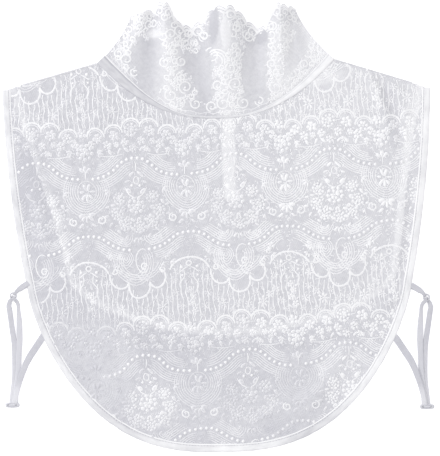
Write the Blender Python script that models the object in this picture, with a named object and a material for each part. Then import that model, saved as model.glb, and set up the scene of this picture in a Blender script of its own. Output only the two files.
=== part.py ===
"""A detachable lace collar lying flat: two bibs, a fluted collar, bindings and elastic straps.

Metres. X runs across the garment, +Y from the hem to the top of the collar, and +Z up from the
surface that it lies on, which is Z = 0. Each piece is one closed wall, and pieces that are sewn
together or lie on each other keep GAP between them.
"""

from dataclasses import dataclass

import bmesh
import bpy
import numpy as np

MM = 0.001
GAP = 0.3 * MM
WALL = 1.0 * MM

# Neck opening, where the shoulder lines meet it
NECK_HALF = 107.5 * MM
NECK_Y = 150.0 * MM
NECK_POWER = 2.3
FRONT_NECK_DIP = 98.0 * MM
BACK_NECK_DIP = 130.0 * MM

# Points down a side and round half the hem of each bib's outline
FRONT_STEPS = (12, 17)
BACK_STEPS = (9, 12)

# Rows of the front bib, sections of the neck band, and columns and rows of each collar stretch
BIB_ROWS = 26
BAND_SECTIONS = 31
COLLAR_GRID = (46, 8)
NEST_COLUMNS = (19, 3, 15)
NEST_ROWS = 6

# Bindings and seams
BINDING_WIDTH = 7.6 * MM
BINDING_THICKNESS = 1.5 * MM
BINDING_BEVEL = 0.4 * MM
SEAM_WIDTH = 2.0 * MM
SEAM_HEIGHT = 3.0 * MM
SEAM_END = 176.0 * MM

# The front bib lies over the back bib and comes down to the surface beyond it
FRONT_LIFT = BINDING_THICKNESS + GAP
LIFT_KEPT = 8.0 * MM
LIFT_GONE = 22.0 * MM

# Placket at the centre back opening
PLACKET_X = 10.5 * MM
PLACKET_WIDTH = 11.0 * MM
PLACKET_FOOT = 25.0 * MM
PLACKET_ROUND = 2.0 * MM

# Neck band: its width at a distance across from the centre front
BAND_THICKNESS = 1.6 * MM
BAND_SEAMS = 0.75 * MM
BAND = (
    ("across", "width"),
    (
        (-107.5, 11.4),
        (-95.0, 11.2),
        (-82.0, 9.8),
        (-67.0, 7.4),
        (-54.0, 5.2),
        (-40.0, 2.7),
        (-27.0, 1.6),
        (27.0, 1.6),
        (40.0, 2.3),
        (54.0, 4.0),
        (76.0, 6.2),
        (90.0, 7.6),
        (107.5, 8.8),
    ),
)

# Flutes of the collar from the left side fold to the right one: where each meets the neck line,
# where it reaches the top edge, and how high it stands there
FLUTES = (
    ("neck_x", "top_x", "top_y", "height"),
    (
        (-107.0, -74.5, 195.5, 0.9),
        (-94.0, -65.0, 197.0, 9.0),
        (-71.0, -55.0, 198.5, 4.2),
        (-45.0, -46.0, 202.2, 16.0),
        (-11.0, -21.5, 181.5, 4.5),
        (12.0, 9.5, 198.5, 18.0),
        (37.0, 38.0, 177.0, 4.2),
        (63.0, 59.5, 200.5, 16.0),
        (86.0, 66.0, 198.5, 7.0),
        (107.0, 72.5, 195.0, 0.9),
    ),
)
LAST_FLUTE = len(FLUTES[1]) - 1
COLLAR_FOOT = 2.8 * MM
COLLAR_BOW = 3.0 * MM
COLLAR_GROWTH = 0.8

# The back stretch of the collar is nested under the front one, open at the centre back
NEST_DROP = 2.4 * MM
NEST_TOP = 0.9
NEST_ENDS = (0.4, 8.6)
OPENING_FLUTE = 5.0
OPENING_HALF = 0.2
OPENING_SEAM = 0.215

# Elastic straps, measured from the centre of the ring: how far outwards and how far down
RING_X = 185.9 * MM
RING_Y = -62.0 * MM
RING_RADIUS = 2.7 * MM
RING_WIRE = 0.6 * MM
RING_HEIGHT = 1.5 * MM
STRAP_WIDTH = 5.0 * MM
STRAPS = (
    ("outward", "down", "height"),
    {
        "tab": (
            (-12.4, -10.0, 0.0),
            (-6.0, -6.1, 0.3),
            (-2.45, -2.7, 0.6),
        ),
        "outer": (
            (3.3, 3.5, 0.0),
            (3.9, 8.5, 0.0),
            (3.0, 14.5, 0.0),
            (1.0, 29.0, 0.0),
            (-0.6, 40.0, 0.0),
            (-1.3, 51.0, 0.0),
            (-1.4, 72.0, 0.0),
            (-0.4, 86.0, 0.0),
            (0.2, 95.6, 0.0),
        ),
        "inner": (
            (-3.3, 3.5, 0.0),
            (-4.4, 8.5, 0.0),
            (-4.9, 14.5, 0.0),
            (-5.5, 24.0, 1.4),
            (-5.8, 40.0, 1.4),
            (-5.3, 51.0, 1.4),
            (-4.4, 72.0, 1.4),
            (-2.6, 86.0, 1.4),
            (-1.7, 95.6, 1.4),
        ),
        "lower": (
            (-25.1, 40.1, 0.0),
            (-18.4, 50.6, 0.4),
            (-13.9, 57.8, 2.8),
            (-10.9, 65.0, 2.8),
            (-8.5, 72.2, 2.8),
            (-5.8, 79.4, 2.8),
            (-3.5, 86.6, 2.8),
            (-2.2, 95.6, 2.8),
        ),
    },
)
# The tab and the lower strap are sewn on at the bib's edge
SEWN_ON = ("tab", "lower")
SEWN_CLEARANCE = 1.7 * MM
SLIDER_DOWN = 98.3 * MM
SLIDER_OUT = 0.6 * MM
SLIDER_WIDTH = 12.8 * MM
SLIDER_DEPTH = 4.6 * MM
SLIDER_THICKNESS = 2.2 * MM
SLIDER_SLOT = (8.0 * MM, 0.9 * MM)
SLIDER_SLOT_Y = 0.95 * MM


@dataclass(frozen=True)
class Bib:
    """A bib's outline: sides from the shoulder points to the corners, then a round hem.

    A side stands out by its bow, halfway down, beyond a straight line. Round the hem, the share
    of the corner's half width, to its power, and the share of the way down, to its own power,
    come to one.
    """

    shoulder_half: float
    shoulder_y: float
    corner_half: float
    corner_y: float
    hem_y: float
    bow: float
    width_power: float
    fall_power: float
    shift: float


FRONT = Bib(192.5 * MM, 123 * MM, 172.8 * MM, -53.5 * MM, -202 * MM, 4 * MM, 2.65, 1.33, 0.0)
BACK = Bib(187 * MM, 123 * MM, 150 * MM, -38 * MM, -97.5 * MM, -3 * MM, 1.8, 1.8, 11.5 * MM)


@dataclass(frozen=True)
class Side:
    """One side's straps, which lie a little higher or lower and lean a little outwards or in."""

    name: str
    sign: float
    raised: float
    lean: float


SIDES = (Side("left", -1.0, 3.8 * MM, 0.0168), Side("right", 1.0, -3.8 * MM, -0.0168))


@dataclass(frozen=True)
class Finish:
    """What a piece is made of, as its colour, roughness and metallic value."""

    colour: tuple
    roughness: float
    metallic: float = 0.0


LACE = Finish((0.86, 0.86, 0.88), 0.8)
SATIN = Finish((0.92, 0.92, 0.93), 0.45)
ELASTIC = Finish((0.70, 0.70, 0.73), 0.6)
RING_METAL = Finish((0.85, 0.85, 0.87), 0.3, 0.2)


def eased(x):
    """Goes from 0 to 1 as x does, level at both ends."""
    x = np.clip(x, 0.0, 1.0)
    return x * x * (3.0 - 2.0 * x)


def column(names, rows, name):
    """One named column of a table."""
    return np.array(rows)[:, names.index(name)]


def side_bow(bib, y):
    """How far a bib's side stands out beyond a straight line at a height."""
    rise = np.clip((y - bib.corner_y) / (bib.shoulder_y - bib.corner_y), 0.0, 1.0)
    return bib.bow * 4.0 * rise * (1.0 - rise)


def half_width(bib, y):
    """The bib's half width at a height, down its sides and round its hem."""
    straight = np.interp(y, [bib.corner_y, bib.shoulder_y], [bib.corner_half, bib.shoulder_half])
    fall = np.clip((bib.corner_y - y) / (bib.corner_y - bib.hem_y), 0.0, 1.0)
    hem = (1.0 - fall**bib.fall_power) ** (1.0 / bib.width_power)
    return (straight + side_bow(bib, y)) * hem


def sideways(bib, y):
    """How far the bib lies to +X at a height."""
    return bib.shift * eased((bib.shoulder_y - y) / (bib.shoulder_y - bib.corner_y))


def bib_edge(bib, side_steps, hem_steps):
    """Points from the left shoulder point down the side, round the hem and up the right side.

    With no side steps they go from corner to corner.
    """
    side_y = np.linspace(bib.shoulder_y, bib.corner_y, side_steps, endpoint=False)
    turn = np.linspace(0.0, np.pi / 2, hem_steps)
    depth = bib.corner_y - bib.hem_y
    y = np.concatenate([side_y, bib.corner_y - depth * np.sin(turn) ** (2.0 / bib.fall_power)])
    half = half_width(bib, y)
    half[-1] = 0.0
    left = np.stack([-half, y], axis=1)
    right = np.stack([half, y], axis=1)[-2::-1]
    edge = np.concatenate([left, right])
    edge[:, 0] += sideways(bib, edge[:, 1])
    return edge


def left_of(points):
    """Unit vectors to the left of a path in the plane."""
    along = np.gradient(points, axis=0)
    across = np.stack([-along[:, 1], along[:, 0]], axis=1)
    return across / np.linalg.norm(across, axis=1, keepdims=True)


def beyond_back(x, y):
    """How far a point of the plane lies outside the back bib's edge, negative inside it."""
    edge = bib_edge(BACK, 24, 24)
    start, step = edge[:-1], np.diff(edge, axis=0)
    point = np.stack([x, y], axis=-1)[..., None, :]
    along = np.clip(((point - start) * step).sum(-1) / (step * step).sum(-1), 0.0, 1.0)
    nearest = np.linalg.norm(point - start - along[..., None] * step, axis=-1).min(-1)
    inside = np.abs(x - sideways(BACK, y)) < half_width(BACK, y)
    return np.where(inside, -nearest, nearest)


def draped(points):
    """Points of the front layer, lifted over the back bib and let down beyond its edge."""
    out = np.array(points, dtype=float)
    beyond = beyond_back(out[..., 0], out[..., 1])
    out[..., 2] += FRONT_LIFT * (1.0 - eased((beyond - LIFT_KEPT) / (LIFT_GONE - LIFT_KEPT)))
    return out


def shoulder_line(x):
    """Height of the shoulder line at a place across, from the neck out to the shoulder point."""
    slope = (NECK_Y - FRONT.shoulder_y) / (FRONT.shoulder_half - NECK_HALF)
    return NECK_Y - (np.abs(x) - NECK_HALF) * slope


def neck_line(x, dip):
    """Height of a neck edge at a place across: a power curve from its dip to the shoulders."""
    return dip + (NECK_Y - dip) * (np.abs(x) / NECK_HALF) ** NECK_POWER


def bib_top(x, dip):
    """Height of a bib's top edge: just short of its neck line and of its shoulder seams."""
    return np.minimum(shoulder_line(x) - SEAM_WIDTH, neck_line(x, dip)) - GAP


def add_solid(name, vertices, faces, finish):
    """Adds one closed body with its faces pointing out, shaded smooth, in its own material."""
    mesh = bpy.data.meshes.new(name)
    mesh.from_pydata(np.asarray(vertices).tolist(), [], faces)
    shape = bmesh.new()
    shape.from_mesh(mesh)
    bmesh.ops.recalc_face_normals(shape, faces=shape.faces)
    shape.to_mesh(mesh)
    shape.free()
    mesh.shade_smooth()
    mesh.set_sharp_from_angle(angle=0.7)
    material = bpy.data.materials.new(name)
    material.use_nodes = True
    shader = material.node_tree.nodes["Principled BSDF"]
    shader.inputs["Base Color"].default_value = (*finish.colour, 1.0)
    shader.inputs["Roughness"].default_value = finish.roughness
    shader.inputs["Metallic"].default_value = finish.metallic
    mesh.materials.append(material)
    solid = bpy.data.objects.new(name, mesh)
    bpy.context.scene.collection.objects.link(solid)
    return solid


def strip_faces(near, far):
    """Four-sided faces between two rows of vertex numbers."""
    return [(near[k], near[k + 1], far[k + 1], far[k]) for k in range(len(near) - 1)]


def add_wall(name, upper, under, finish):
    """Adds a wall of cloth between two grids of points, closed round its rim."""
    rows, columns = upper.shape[:2]
    number = np.arange(rows * columns).reshape(rows, columns)
    below = number + rows * columns
    faces = []
    for row in range(rows - 1):
        faces += strip_faces(number[row], number[row + 1])
        faces += strip_faces(below[row + 1], below[row])
    rim = np.concatenate([number[0], number[1:, -1], number[-1, -2::-1], number[-2::-1, 0]])
    faces += strip_faces(rim + rows * columns, rim)
    vertices = np.concatenate([upper.reshape(-1, 3), under.reshape(-1, 3)])
    return add_solid(name, vertices, [tuple(map(int, face)) for face in faces], finish)


def add_swept(name, sections, finish, closed=False):
    """Adds a solid through a row of closed sections, capped unless the row closes on itself."""
    count, around = sections.shape[:2]
    number = np.arange(count * around).reshape(count, around)
    ring = np.concatenate([number, number[:, :1]], axis=1)
    following = np.roll(ring, -1, axis=0) if closed else ring[1:]
    faces = []
    for near, far in zip(ring, following):
        faces += strip_faces(near, far)
    if not closed:
        faces += [tuple(number[0]), tuple(number[-1][::-1])]
    return add_solid(
        name, sections.reshape(-1, 3), [tuple(map(int, face)) for face in faces], finish
    )


def add_flat(name, outline, low, high, finish):
    """Adds a flat solid between two heights, on an outline in the plane."""
    count = len(outline)
    heights = np.repeat([low, high], count)[:, None]
    vertices = np.concatenate([np.tile(outline, (2, 1)), heights], axis=1)
    faces = [tuple(range(count)), tuple(range(count, 2 * count))]
    faces += [(k, (k + 1) % count, count + (k + 1) % count, count + k) for k in range(count)]
    return add_solid(name, vertices, faces, finish)


def rounded_strip(path, across, half, thickness, bevel):
    """Sections of a flat strip with bevelled edges along a path, lying on Z = 0."""
    half = np.broadcast_to(half, len(path))[:, None]
    edge = np.minimum(bevel, half * 0.5)
    offset = np.concatenate(
        [-half + edge, half - edge, half, half, half - edge, -half + edge, -half, -half], axis=1
    )
    low, high = np.full_like(edge, bevel), np.full_like(edge, thickness - bevel)
    floor, roof = np.zeros_like(edge), np.full_like(edge, thickness)
    height = np.concatenate([floor, floor, low, high, roof, roof, high, low], axis=1)
    plan = path[:, None, :] + across[:, None, :] * offset[..., None]
    return np.concatenate([plan, height[..., None]], axis=-1)


def make_front_bib():
    """The front bib: a grid of columns from its neck and shoulders down to its hem."""
    inset = BINDING_WIDTH + GAP
    edge = bib_edge(FRONT, 0, FRONT_STEPS[1])
    inner = edge + inset * left_of(edge)
    columns = len(inner)
    shoulder = FRONT.shoulder_half - inset
    ends = columns * np.array([0.0, 0.28, 0.72, 1.0])
    stations = np.round(ends * (columns - 1) / columns)
    across = np.interp(
        np.arange(columns), stations, [-shoulder, -NECK_HALF, NECK_HALF, shoulder]
    )
    top = np.stack([across, bib_top(across, FRONT_NECK_DIP)], axis=1)
    corner = np.array([FRONT.corner_half - inset, FRONT.corner_y])
    inner[0], inner[-1] = corner * (-1, 1), corner
    down = np.linspace(0.0, 1.0, BIB_ROWS)[:, None, None]
    plan = (1.0 - down) * top + down * inner
    plan[..., 0] *= 1.0 + side_bow(FRONT, plan[..., 1]) / np.abs(plan[:, :1, 0])
    under = draped(np.concatenate([plan, np.zeros((*plan.shape[:2], 1))], axis=-1))
    add_wall("front_bib", under + (0.0, 0.0, WALL), under, LACE)


def make_back_bib():
    """The back bib: a flat wall inside its binding, slit for the placket."""
    edge = bib_edge(BACK, *BACK_STEPS)
    inner = edge + (BINDING_WIDTH + GAP) * left_of(edge)
    slit = PLACKET_WIDTH / 2 + GAP
    right_neck = np.linspace(NECK_HALF, PLACKET_X + slit, 9)
    left_neck = np.linspace(PLACKET_X - slit, -NECK_HALF, 10)
    right_x = np.concatenate([[SEAM_END], right_neck])
    left_x = np.concatenate([left_neck, [-SEAM_END]])
    right_top = np.stack([right_x, bib_top(right_x, BACK_NECK_DIP)], axis=1)
    left_top = np.stack([left_x, bib_top(left_x, BACK_NECK_DIP)], axis=1)
    foot = PLACKET_FOOT - GAP
    slit_foot = np.array([[PLACKET_X + slit, foot], [PLACKET_X - slit, foot]])
    outline = np.concatenate([inner, right_top, slit_foot, left_top])
    add_flat("back_bib", outline, 0.0, WALL, LACE)


def make_bindings():
    """The binding round each bib: a bevelled strip down both sides and round the hem."""
    half = BINDING_WIDTH / 2
    bibs = (("front_binding", FRONT, FRONT_STEPS), ("back_binding", BACK, BACK_STEPS))
    for name, bib, steps in bibs:
        edge = bib_edge(bib, *steps)
        inward = left_of(edge)
        strip = rounded_strip(edge + half * inward, inward, half, BINDING_THICKNESS, BINDING_BEVEL)
        if bib is FRONT:
            strip = draped(strip)
        add_swept(name, strip, SATIN)


def make_shoulder_seams():
    """The two shoulder seams, which close the edges of both bibs."""
    for name, sign in (("left", -1.0), ("right", 1.0)):
        x = sign * np.linspace(NECK_HALF, SEAM_END, 3)
        path = np.stack([x, shoulder_line(x) - SEAM_WIDTH / 2], axis=1)
        strip = rounded_strip(path, left_of(path), SEAM_WIDTH / 2, SEAM_HEIGHT, BINDING_BEVEL)
        add_swept(f"shoulder_seam_{name}", strip, SATIN)


def make_placket():
    """The strip that binds the slit of the back bib, with its lower corners rounded."""
    half = PLACKET_WIDTH / 2
    turn = np.linspace(0.0, np.pi / 2, 4)
    corner_x = half - PLACKET_ROUND + PLACKET_ROUND * np.sin(turn)
    corner_y = PLACKET_FOOT + PLACKET_ROUND - PLACKET_ROUND * np.cos(turn)
    right = np.stack([PLACKET_X + corner_x, corner_y], axis=1)
    left = np.stack([PLACKET_X - corner_x, corner_y], axis=1)[::-1]
    top_x = PLACKET_X + np.array([half, -half])
    top = np.stack([top_x, neck_line(top_x, BACK_NECK_DIP)], axis=1)
    outline = np.concatenate([right, top, left])
    add_flat("placket", outline, 0.0, BINDING_THICKNESS, SATIN)


def neck_frame(x):
    """Points on the front neck line, and unit vectors from it into the neck opening."""
    step = 0.01 * MM
    slope = (neck_line(x + step, FRONT_NECK_DIP) - neck_line(x - step, FRONT_NECK_DIP)) / (2 * step)
    into = np.stack([-slope, np.ones_like(slope)], axis=-1)
    into /= np.linalg.norm(into, axis=-1, keepdims=True)
    return np.stack([x, neck_line(x, FRONT_NECK_DIP)], axis=-1), into


def band_width(x):
    """Width of the neck band at a place across."""
    across, width = column(*BAND, "across"), column(*BAND, "width")
    return np.interp(x, across * MM, width * MM)


def make_neck_band():
    """The strip between the front bib's neck edge and the collar."""
    x = np.linspace(-NECK_HALF + GAP, NECK_HALF - GAP, BAND_SECTIONS)
    line, into = neck_frame(x)
    half = band_width(x) / 2
    path = line + into * (GAP + half)[:, None]
    strip = rounded_strip(path, into, half, BAND_THICKNESS, BINDING_BEVEL)
    add_swept("neck_band", draped(strip), SATIN)


def flute(name, place, smooth):
    """A column of the flute table at places along the collar, level at each flute if smooth."""
    values = column(*FLUTES, name) * MM
    whole = np.clip(np.floor(place).astype(int), 0, LAST_FLUTE - 1)
    part = place - whole
    if smooth:
        part = eased(part)
    return values[whole] + (values[whole + 1] - values[whole]) * part


def collar_point(place, rise):
    """Middle of the collar's wall: place counts the flutes, rise goes from the seam to the top.

    The point moves along a line from the seam to the top edge, bowed towards the centre, and
    stands up by the flute's height times a power of the rise.
    """
    place, rise = np.broadcast_arrays(place, rise)
    neck_x = flute("neck_x", place, False)
    line, into = neck_frame(neck_x)
    foot = line + into * (band_width(neck_x) + BAND_SEAMS)[..., None]
    top = np.stack([flute("top_x", place, False), flute("top_y", place, True)], axis=-1)
    plan = foot + (top - foot) * rise[..., None]
    plan[..., 0] -= COLLAR_BOW * 4.0 * rise * (1.0 - rise) * neck_x / NECK_HALF
    grown = np.clip(rise, 0.0, 1.0) ** COLLAR_GROWTH
    height = COLLAR_FOOT + (flute("height", place, True) - COLLAR_FOOT) * grown
    return np.concatenate([plan, height[..., None]], axis=-1)


def thickened(points):
    """The upper and under faces of a wall whose middle is a grid of points."""
    down, along = np.gradient(points, axis=0), np.gradient(points, axis=1)
    out = np.cross(along, down)
    out /= np.linalg.norm(out, axis=-1, keepdims=True)
    out *= np.sign(out[..., 2:])
    return points + out * WALL / 2, points - out * WALL / 2


def nest_foot(place):
    """The rise at which the back stretch of the collar meets the back bib's neck edge."""
    rise = np.linspace(-0.4, 0.8, 121)
    foot = []
    for one in place:
        points = collar_point(one, rise)
        clear = points[:, 1] - neck_line(points[:, 0], BACK_NECK_DIP) - GAP
        foot.append(np.interp(0.0, clear, rise))
    return np.array(foot)


def make_collar():
    """The collar: its front stretch, and the two back stretches and the placket under it."""
    place = np.linspace(0.0, LAST_FLUTE, COLLAR_GRID[0])
    rise = np.linspace(1.0, 0.0, COLLAR_GRID[1])[:, None]
    add_wall("collar_front", *thickened(collar_point(place, rise)), LACE)
    stretches = (
        ("collar_back_left", NEST_ENDS[0], OPENING_FLUTE - OPENING_SEAM, LACE),
        ("collar_placket", OPENING_FLUTE - OPENING_HALF, OPENING_FLUTE + OPENING_HALF, SATIN),
        ("collar_back_right", OPENING_FLUTE + OPENING_SEAM, NEST_ENDS[1], LACE),
    )
    for columns, (name, start, end, finish) in zip(NEST_COLUMNS, stretches):
        place = np.linspace(start, end, columns)
        share = np.linspace(1.0, 0.0, NEST_ROWS)[:, None]
        foot = nest_foot(place)
        points = collar_point(place, foot + (NEST_TOP - foot) * share)
        points[..., 2] = np.maximum(points[..., 2] - NEST_DROP, WALL / 2)
        upper, under = thickened(points)
        upper[..., 2] = np.maximum(upper[..., 2], WALL)
        under[..., 2] = np.maximum(under[..., 2], 0.0)
        add_wall(name, upper, under, finish)


def curve_through(points, count):
    """Points read at even steps from a smooth curve through the given ones."""
    points = np.asarray(points, dtype=float)
    slope = np.gradient(points, axis=0)
    at = np.linspace(0.0, len(points) - 1.0, count)
    whole = np.minimum(at.astype(int), len(points) - 2)
    part = (at - whole)[:, None]
    start, end = points[whole], points[whole + 1]
    leave, arrive = slope[whole], slope[whole + 1]
    ease = part * part * (3.0 - 2.0 * part)
    swing = part * (1.0 - part)
    return start + (end - start) * ease + swing * ((1.0 - part) * leave - part * arrive)


def strap_place(side, outward, down):
    """A place near a strap: outwards and down from the middle of the ring on its side."""
    x = side.sign * (RING_X + outward + side.lean * down)
    return np.stack([x, RING_Y + side.raised - down], axis=-1)


def strap_route(side, part):
    """A strap's middle line in plan and its height, started at the bib's edge if sewn there."""
    rows = STRAPS[1][part]
    outward, down, height = (column(STRAPS[0], rows, name) * MM for name in STRAPS[0])
    if part in SEWN_ON:
        edge = half_width(FRONT, RING_Y + side.raised - down[0])
        outward[0] = edge + SEWN_CLEARANCE - RING_X - side.lean * down[0]
    route = curve_through(np.stack([outward, down, height], axis=1), 2 * len(rows) + 1)
    return strap_place(side, route[:, 0], route[:, 1]), route[:, 2]


def make_straps(side):
    """The tab, the two strands and the lower strap of one side, each a flat ribbon."""
    half = STRAP_WIDTH / 2
    for part in STRAPS[1]:
        path, height = strap_route(side, part)
        edge = left_of(path)[:, None, :] * np.array([-half, half, half, -half])[:, None]
        plan = path[:, None, :] + edge
        rise = height[:, None] + np.array([0.0, 0.0, WALL, WALL])
        add_swept(f"strap_{part}_{side.name}", np.concatenate([plan, rise[..., None]], -1), ELASTIC)


def make_ring(side):
    """The ring that the tab and the strap go through."""
    turn = np.linspace(0.0, 2 * np.pi, 20, endpoint=False)[:, None]
    around = np.linspace(0.0, 2 * np.pi, 8, endpoint=False)
    reach = RING_RADIUS + RING_WIRE * np.cos(around)
    centre = strap_place(side, 0.0, 0.0)
    x = centre[0] + reach * np.cos(turn)
    y = centre[1] + reach * np.sin(turn)
    z = np.broadcast_to(RING_HEIGHT + RING_WIRE * np.sin(around), x.shape)
    add_swept(f"strap_ring_{side.name}", np.stack([x, y, z], axis=-1), RING_METAL, closed=True)


def make_slider(side):
    """The slider: a flat bar with round ends and two slots for the elastic."""
    centre = strap_place(side, SLIDER_OUT, SLIDER_DOWN)
    end = SLIDER_DEPTH / 2
    turn = np.linspace(-np.pi / 2, np.pi / 2, 7)
    tip = np.stack([SLIDER_WIDTH / 2 - end + end * np.cos(turn), end * np.sin(turn)], axis=1)
    outline = np.concatenate([tip, -tip])
    slider = add_flat(f"strap_slider_{side.name}", centre + outline, 0.0, SLIDER_THICKNESS, ELASTIC)
    length, depth = SLIDER_SLOT
    box = np.array([[-1, -1], [1, -1], [1, 1], [-1, 1]]) * (length / 2, depth / 2)
    for row, place in (("upper", SLIDER_SLOT_Y), ("lower", -SLIDER_SLOT_Y)):
        slot = add_flat(
            f"slot_{row}_{side.name}", centre + (0.0, place) + box, -WALL, SLIDER_THICKNESS + WALL, ELASTIC
        )
        slot.hide_render = True
        slot.display_type = "WIRE"
        cut = slider.modifiers.new(row, "BOOLEAN")
        cut.object = slot
        cut.operation = "DIFFERENCE"


def main():
    """Builds every piece."""
    for old in list(bpy.data.objects):
        bpy.data.objects.remove(old)
    make_front_bib()
    make_back_bib()
    make_bindings()
    make_shoulder_seams()
    make_placket()
    make_neck_band()
    make_collar()
    for side in SIDES:
        make_straps(side)
        make_ring(side)
        make_slider(side)


main()
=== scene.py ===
"""The looks of a detachable lace collar lying flat: net, embroidery, satin strips, elastic, fittings.

Metres, in the frame's axes: X across the garment, +Y from the hem to the top of the collar, +Z up
from the surface that it lies on. The lace is charted as one repeat of dotted waves, flowers,
shells, festoons and ribs, and laid over both bibs. The collar has a border lace of scrolls. Every
raised thread and petal is a closed body that stands on the net.
"""

import logging
from collections.abc import Callable
from dataclasses import dataclass, field
from enum import Enum

import bpy
import numpy as np
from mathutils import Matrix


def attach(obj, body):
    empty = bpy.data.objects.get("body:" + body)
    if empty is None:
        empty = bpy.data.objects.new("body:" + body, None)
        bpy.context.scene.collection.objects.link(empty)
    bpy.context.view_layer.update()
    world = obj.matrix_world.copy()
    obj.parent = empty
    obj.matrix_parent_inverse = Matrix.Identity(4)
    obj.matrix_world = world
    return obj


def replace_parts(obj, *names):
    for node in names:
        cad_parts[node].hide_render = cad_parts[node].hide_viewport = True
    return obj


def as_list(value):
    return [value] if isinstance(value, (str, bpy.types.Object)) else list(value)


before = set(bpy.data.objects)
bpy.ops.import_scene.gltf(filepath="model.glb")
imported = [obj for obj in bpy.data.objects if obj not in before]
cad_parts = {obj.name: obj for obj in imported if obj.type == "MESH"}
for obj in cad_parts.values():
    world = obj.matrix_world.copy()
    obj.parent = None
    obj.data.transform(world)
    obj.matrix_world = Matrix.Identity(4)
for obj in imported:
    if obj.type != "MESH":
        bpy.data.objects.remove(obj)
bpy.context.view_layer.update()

log = logging.getLogger("lace_collar")
Array = np.ndarray
Number = Array | float
Plan = Callable[[Array], Array]
Material = bpy.types.Material
Piece = bpy.types.Object
Socket = bpy.types.NodeSocket

MM = 0.001
BODY = "root"
MAP = "map"
# Name of the attribute that makes a point whiter: from layers beneath and closer lace, and also painted
# light and painted shade on the collar's flutes, the neck band, the bindings and patches of the front
# bib.
FULLNESS_AND_PAINTED_LIGHT = "fullness_and_painted_light"

BOTH = (-1, 1)


class Slot(Enum):
    """The record's material slots."""

    LACE = "lace"
    SATIN = "satin"
    ELASTIC = "elastic"
    FITTINGS = "fittings"


class Thread(Enum):
    """Threads: width and height in millimetres, share of width at the ends, beading, whiteness.

    The width goes up and down by the beading's share from point to point.
    """

    OUTLINE = (2.0, 0.5, 0.7, 0.16, 0.7)
    CURL = (1.6, 0.5, 0.6, 0.08, 0.95)
    STEM = (1.25, 0.4, 0.6, 0.1, 0.9)
    FINE = (0.95, 0.28, 0.5, 0.0, 0.6)
    RIB = (1.1, 0.28, 0.8, 0.3, 0.8)
    SEED = (0.85, 0.22, 1.0, 0.0, 0.25)

    @property
    def width(self) -> float:
        """Width in metres."""
        return self.value[0] * MM

    @property
    def height(self) -> float:
        """Height in metres."""
        return self.value[1] * MM

    @property
    def taper(self) -> float:
        """Share of the width that the thread keeps at its ends."""
        return self.value[2]

    @property
    def white(self) -> float:
        """How much whiter than the greyest thread it is."""
        return self.value[4]

    def beaded(self, count: int) -> Array:
        """Share of the width at each of a number of points: up and down by the beading."""
        return 1.0 + self.value[3] * (-1.0) ** np.arange(count)


def eased(x: Array) -> Array:
    """Goes from 0 to 1 as x does, level at both ends."""
    x = np.clip(x, 0.0, 1.0)
    return x * x * (3.0 - 2.0 * x)


def bell(x: Array, middle: float, width: float) -> Array:
    """A bell curve: 1 at its middle, and a third of that a width away."""
    return np.exp(-(((x - middle) / width) ** 2))


def squarer(wave: Array, power: float) -> Array:
    """A wave with its sign kept and its size taken to a power, which below 1 makes it squarer."""
    return np.sign(wave) * np.abs(wave) ** power


def unit(vectors: Array) -> Array:
    """The vectors at length 1."""
    return vectors / np.maximum(np.linalg.norm(vectors, axis=-1, keepdims=True), 1e-12)


def raised(plan: Array, height: Number) -> Array:
    """Points of the plane at their heights."""
    return np.concatenate([plan, np.broadcast_to(height, plan.shape[:-1])[..., None]], axis=-1)


def column(table: tuple, name: str) -> Array:
    """One named column of a table of names and rows."""
    names, rows = table
    return np.array(rows, dtype=float)[:, names.index(name)]


def full_turn(count: int) -> Array:
    """Even angles once round."""
    return np.linspace(0.0, 2 * np.pi, count, endpoint=False)


def arc(turn: Array, across: Number = 1.0, up: Number = 1.0) -> Array:
    """Points of an oval about the origin at angles, from its two half sizes."""
    return np.stack([across * np.cos(turn), up * np.sin(turn)], axis=-1)


def spanned(first: Array, second: Array) -> Array:
    """Area between rows of two vectors of the plane, negative where the second is on the right."""
    return first[:, 0] * second[:, 1] - first[:, 1] * second[:, 0]


def left_of(path: Array) -> Array:
    """Unit vectors to the left of paths in the plane, whose last but one axis runs along them."""
    along = np.gradient(path, axis=-2)
    return unit(np.stack([-along[..., 1], along[..., 0]], axis=-1))


def gone_along(path: Array) -> Array:
    """Length gone at each point of a path of short straight runs."""
    return np.concatenate([[0.0], np.cumsum(np.linalg.norm(np.diff(path, axis=0), axis=1))])


def length_of(path: Array) -> float:
    """Length of a path of short straight runs."""
    return float(gone_along(path)[-1])


def evenly(path: Array, count: int) -> Array:
    """Reads a path of short straight runs at even steps of its length.

    Args:
        path: points along the path.
        count: how many points to read, the path's ends among them.

    Returns:
        The points read.
    """
    gone = gone_along(path)
    at = np.linspace(0.0, gone[-1], count)
    return np.stack([np.interp(at, gone, values) for values in path.T], axis=1)


def curve_through(points: Array, count: int) -> Array:
    """Reads a smooth curve through a few points at even steps of its length.

    Between two points the curve is a cubic whose slope at each point is half the way from the
    point before to the point after.

    Args:
        points: the points that the curve goes through.
        count: how many points to read.

    Returns:
        The points read.
    """
    points = np.asarray(points, dtype=float)
    slope = np.gradient(points, axis=0)
    at = np.linspace(0.0, len(points) - 1.0, 12 * len(points))
    whole = np.minimum(at.astype(int), len(points) - 2)
    part = (at - whole)[:, None]
    start, end = points[whole], points[whole + 1]
    swing = part * (1.0 - part) * ((1.0 - part) * slope[whole] - part * slope[whole + 1])
    return evenly(start + (end - start) * eased(part) + swing, count)


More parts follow.
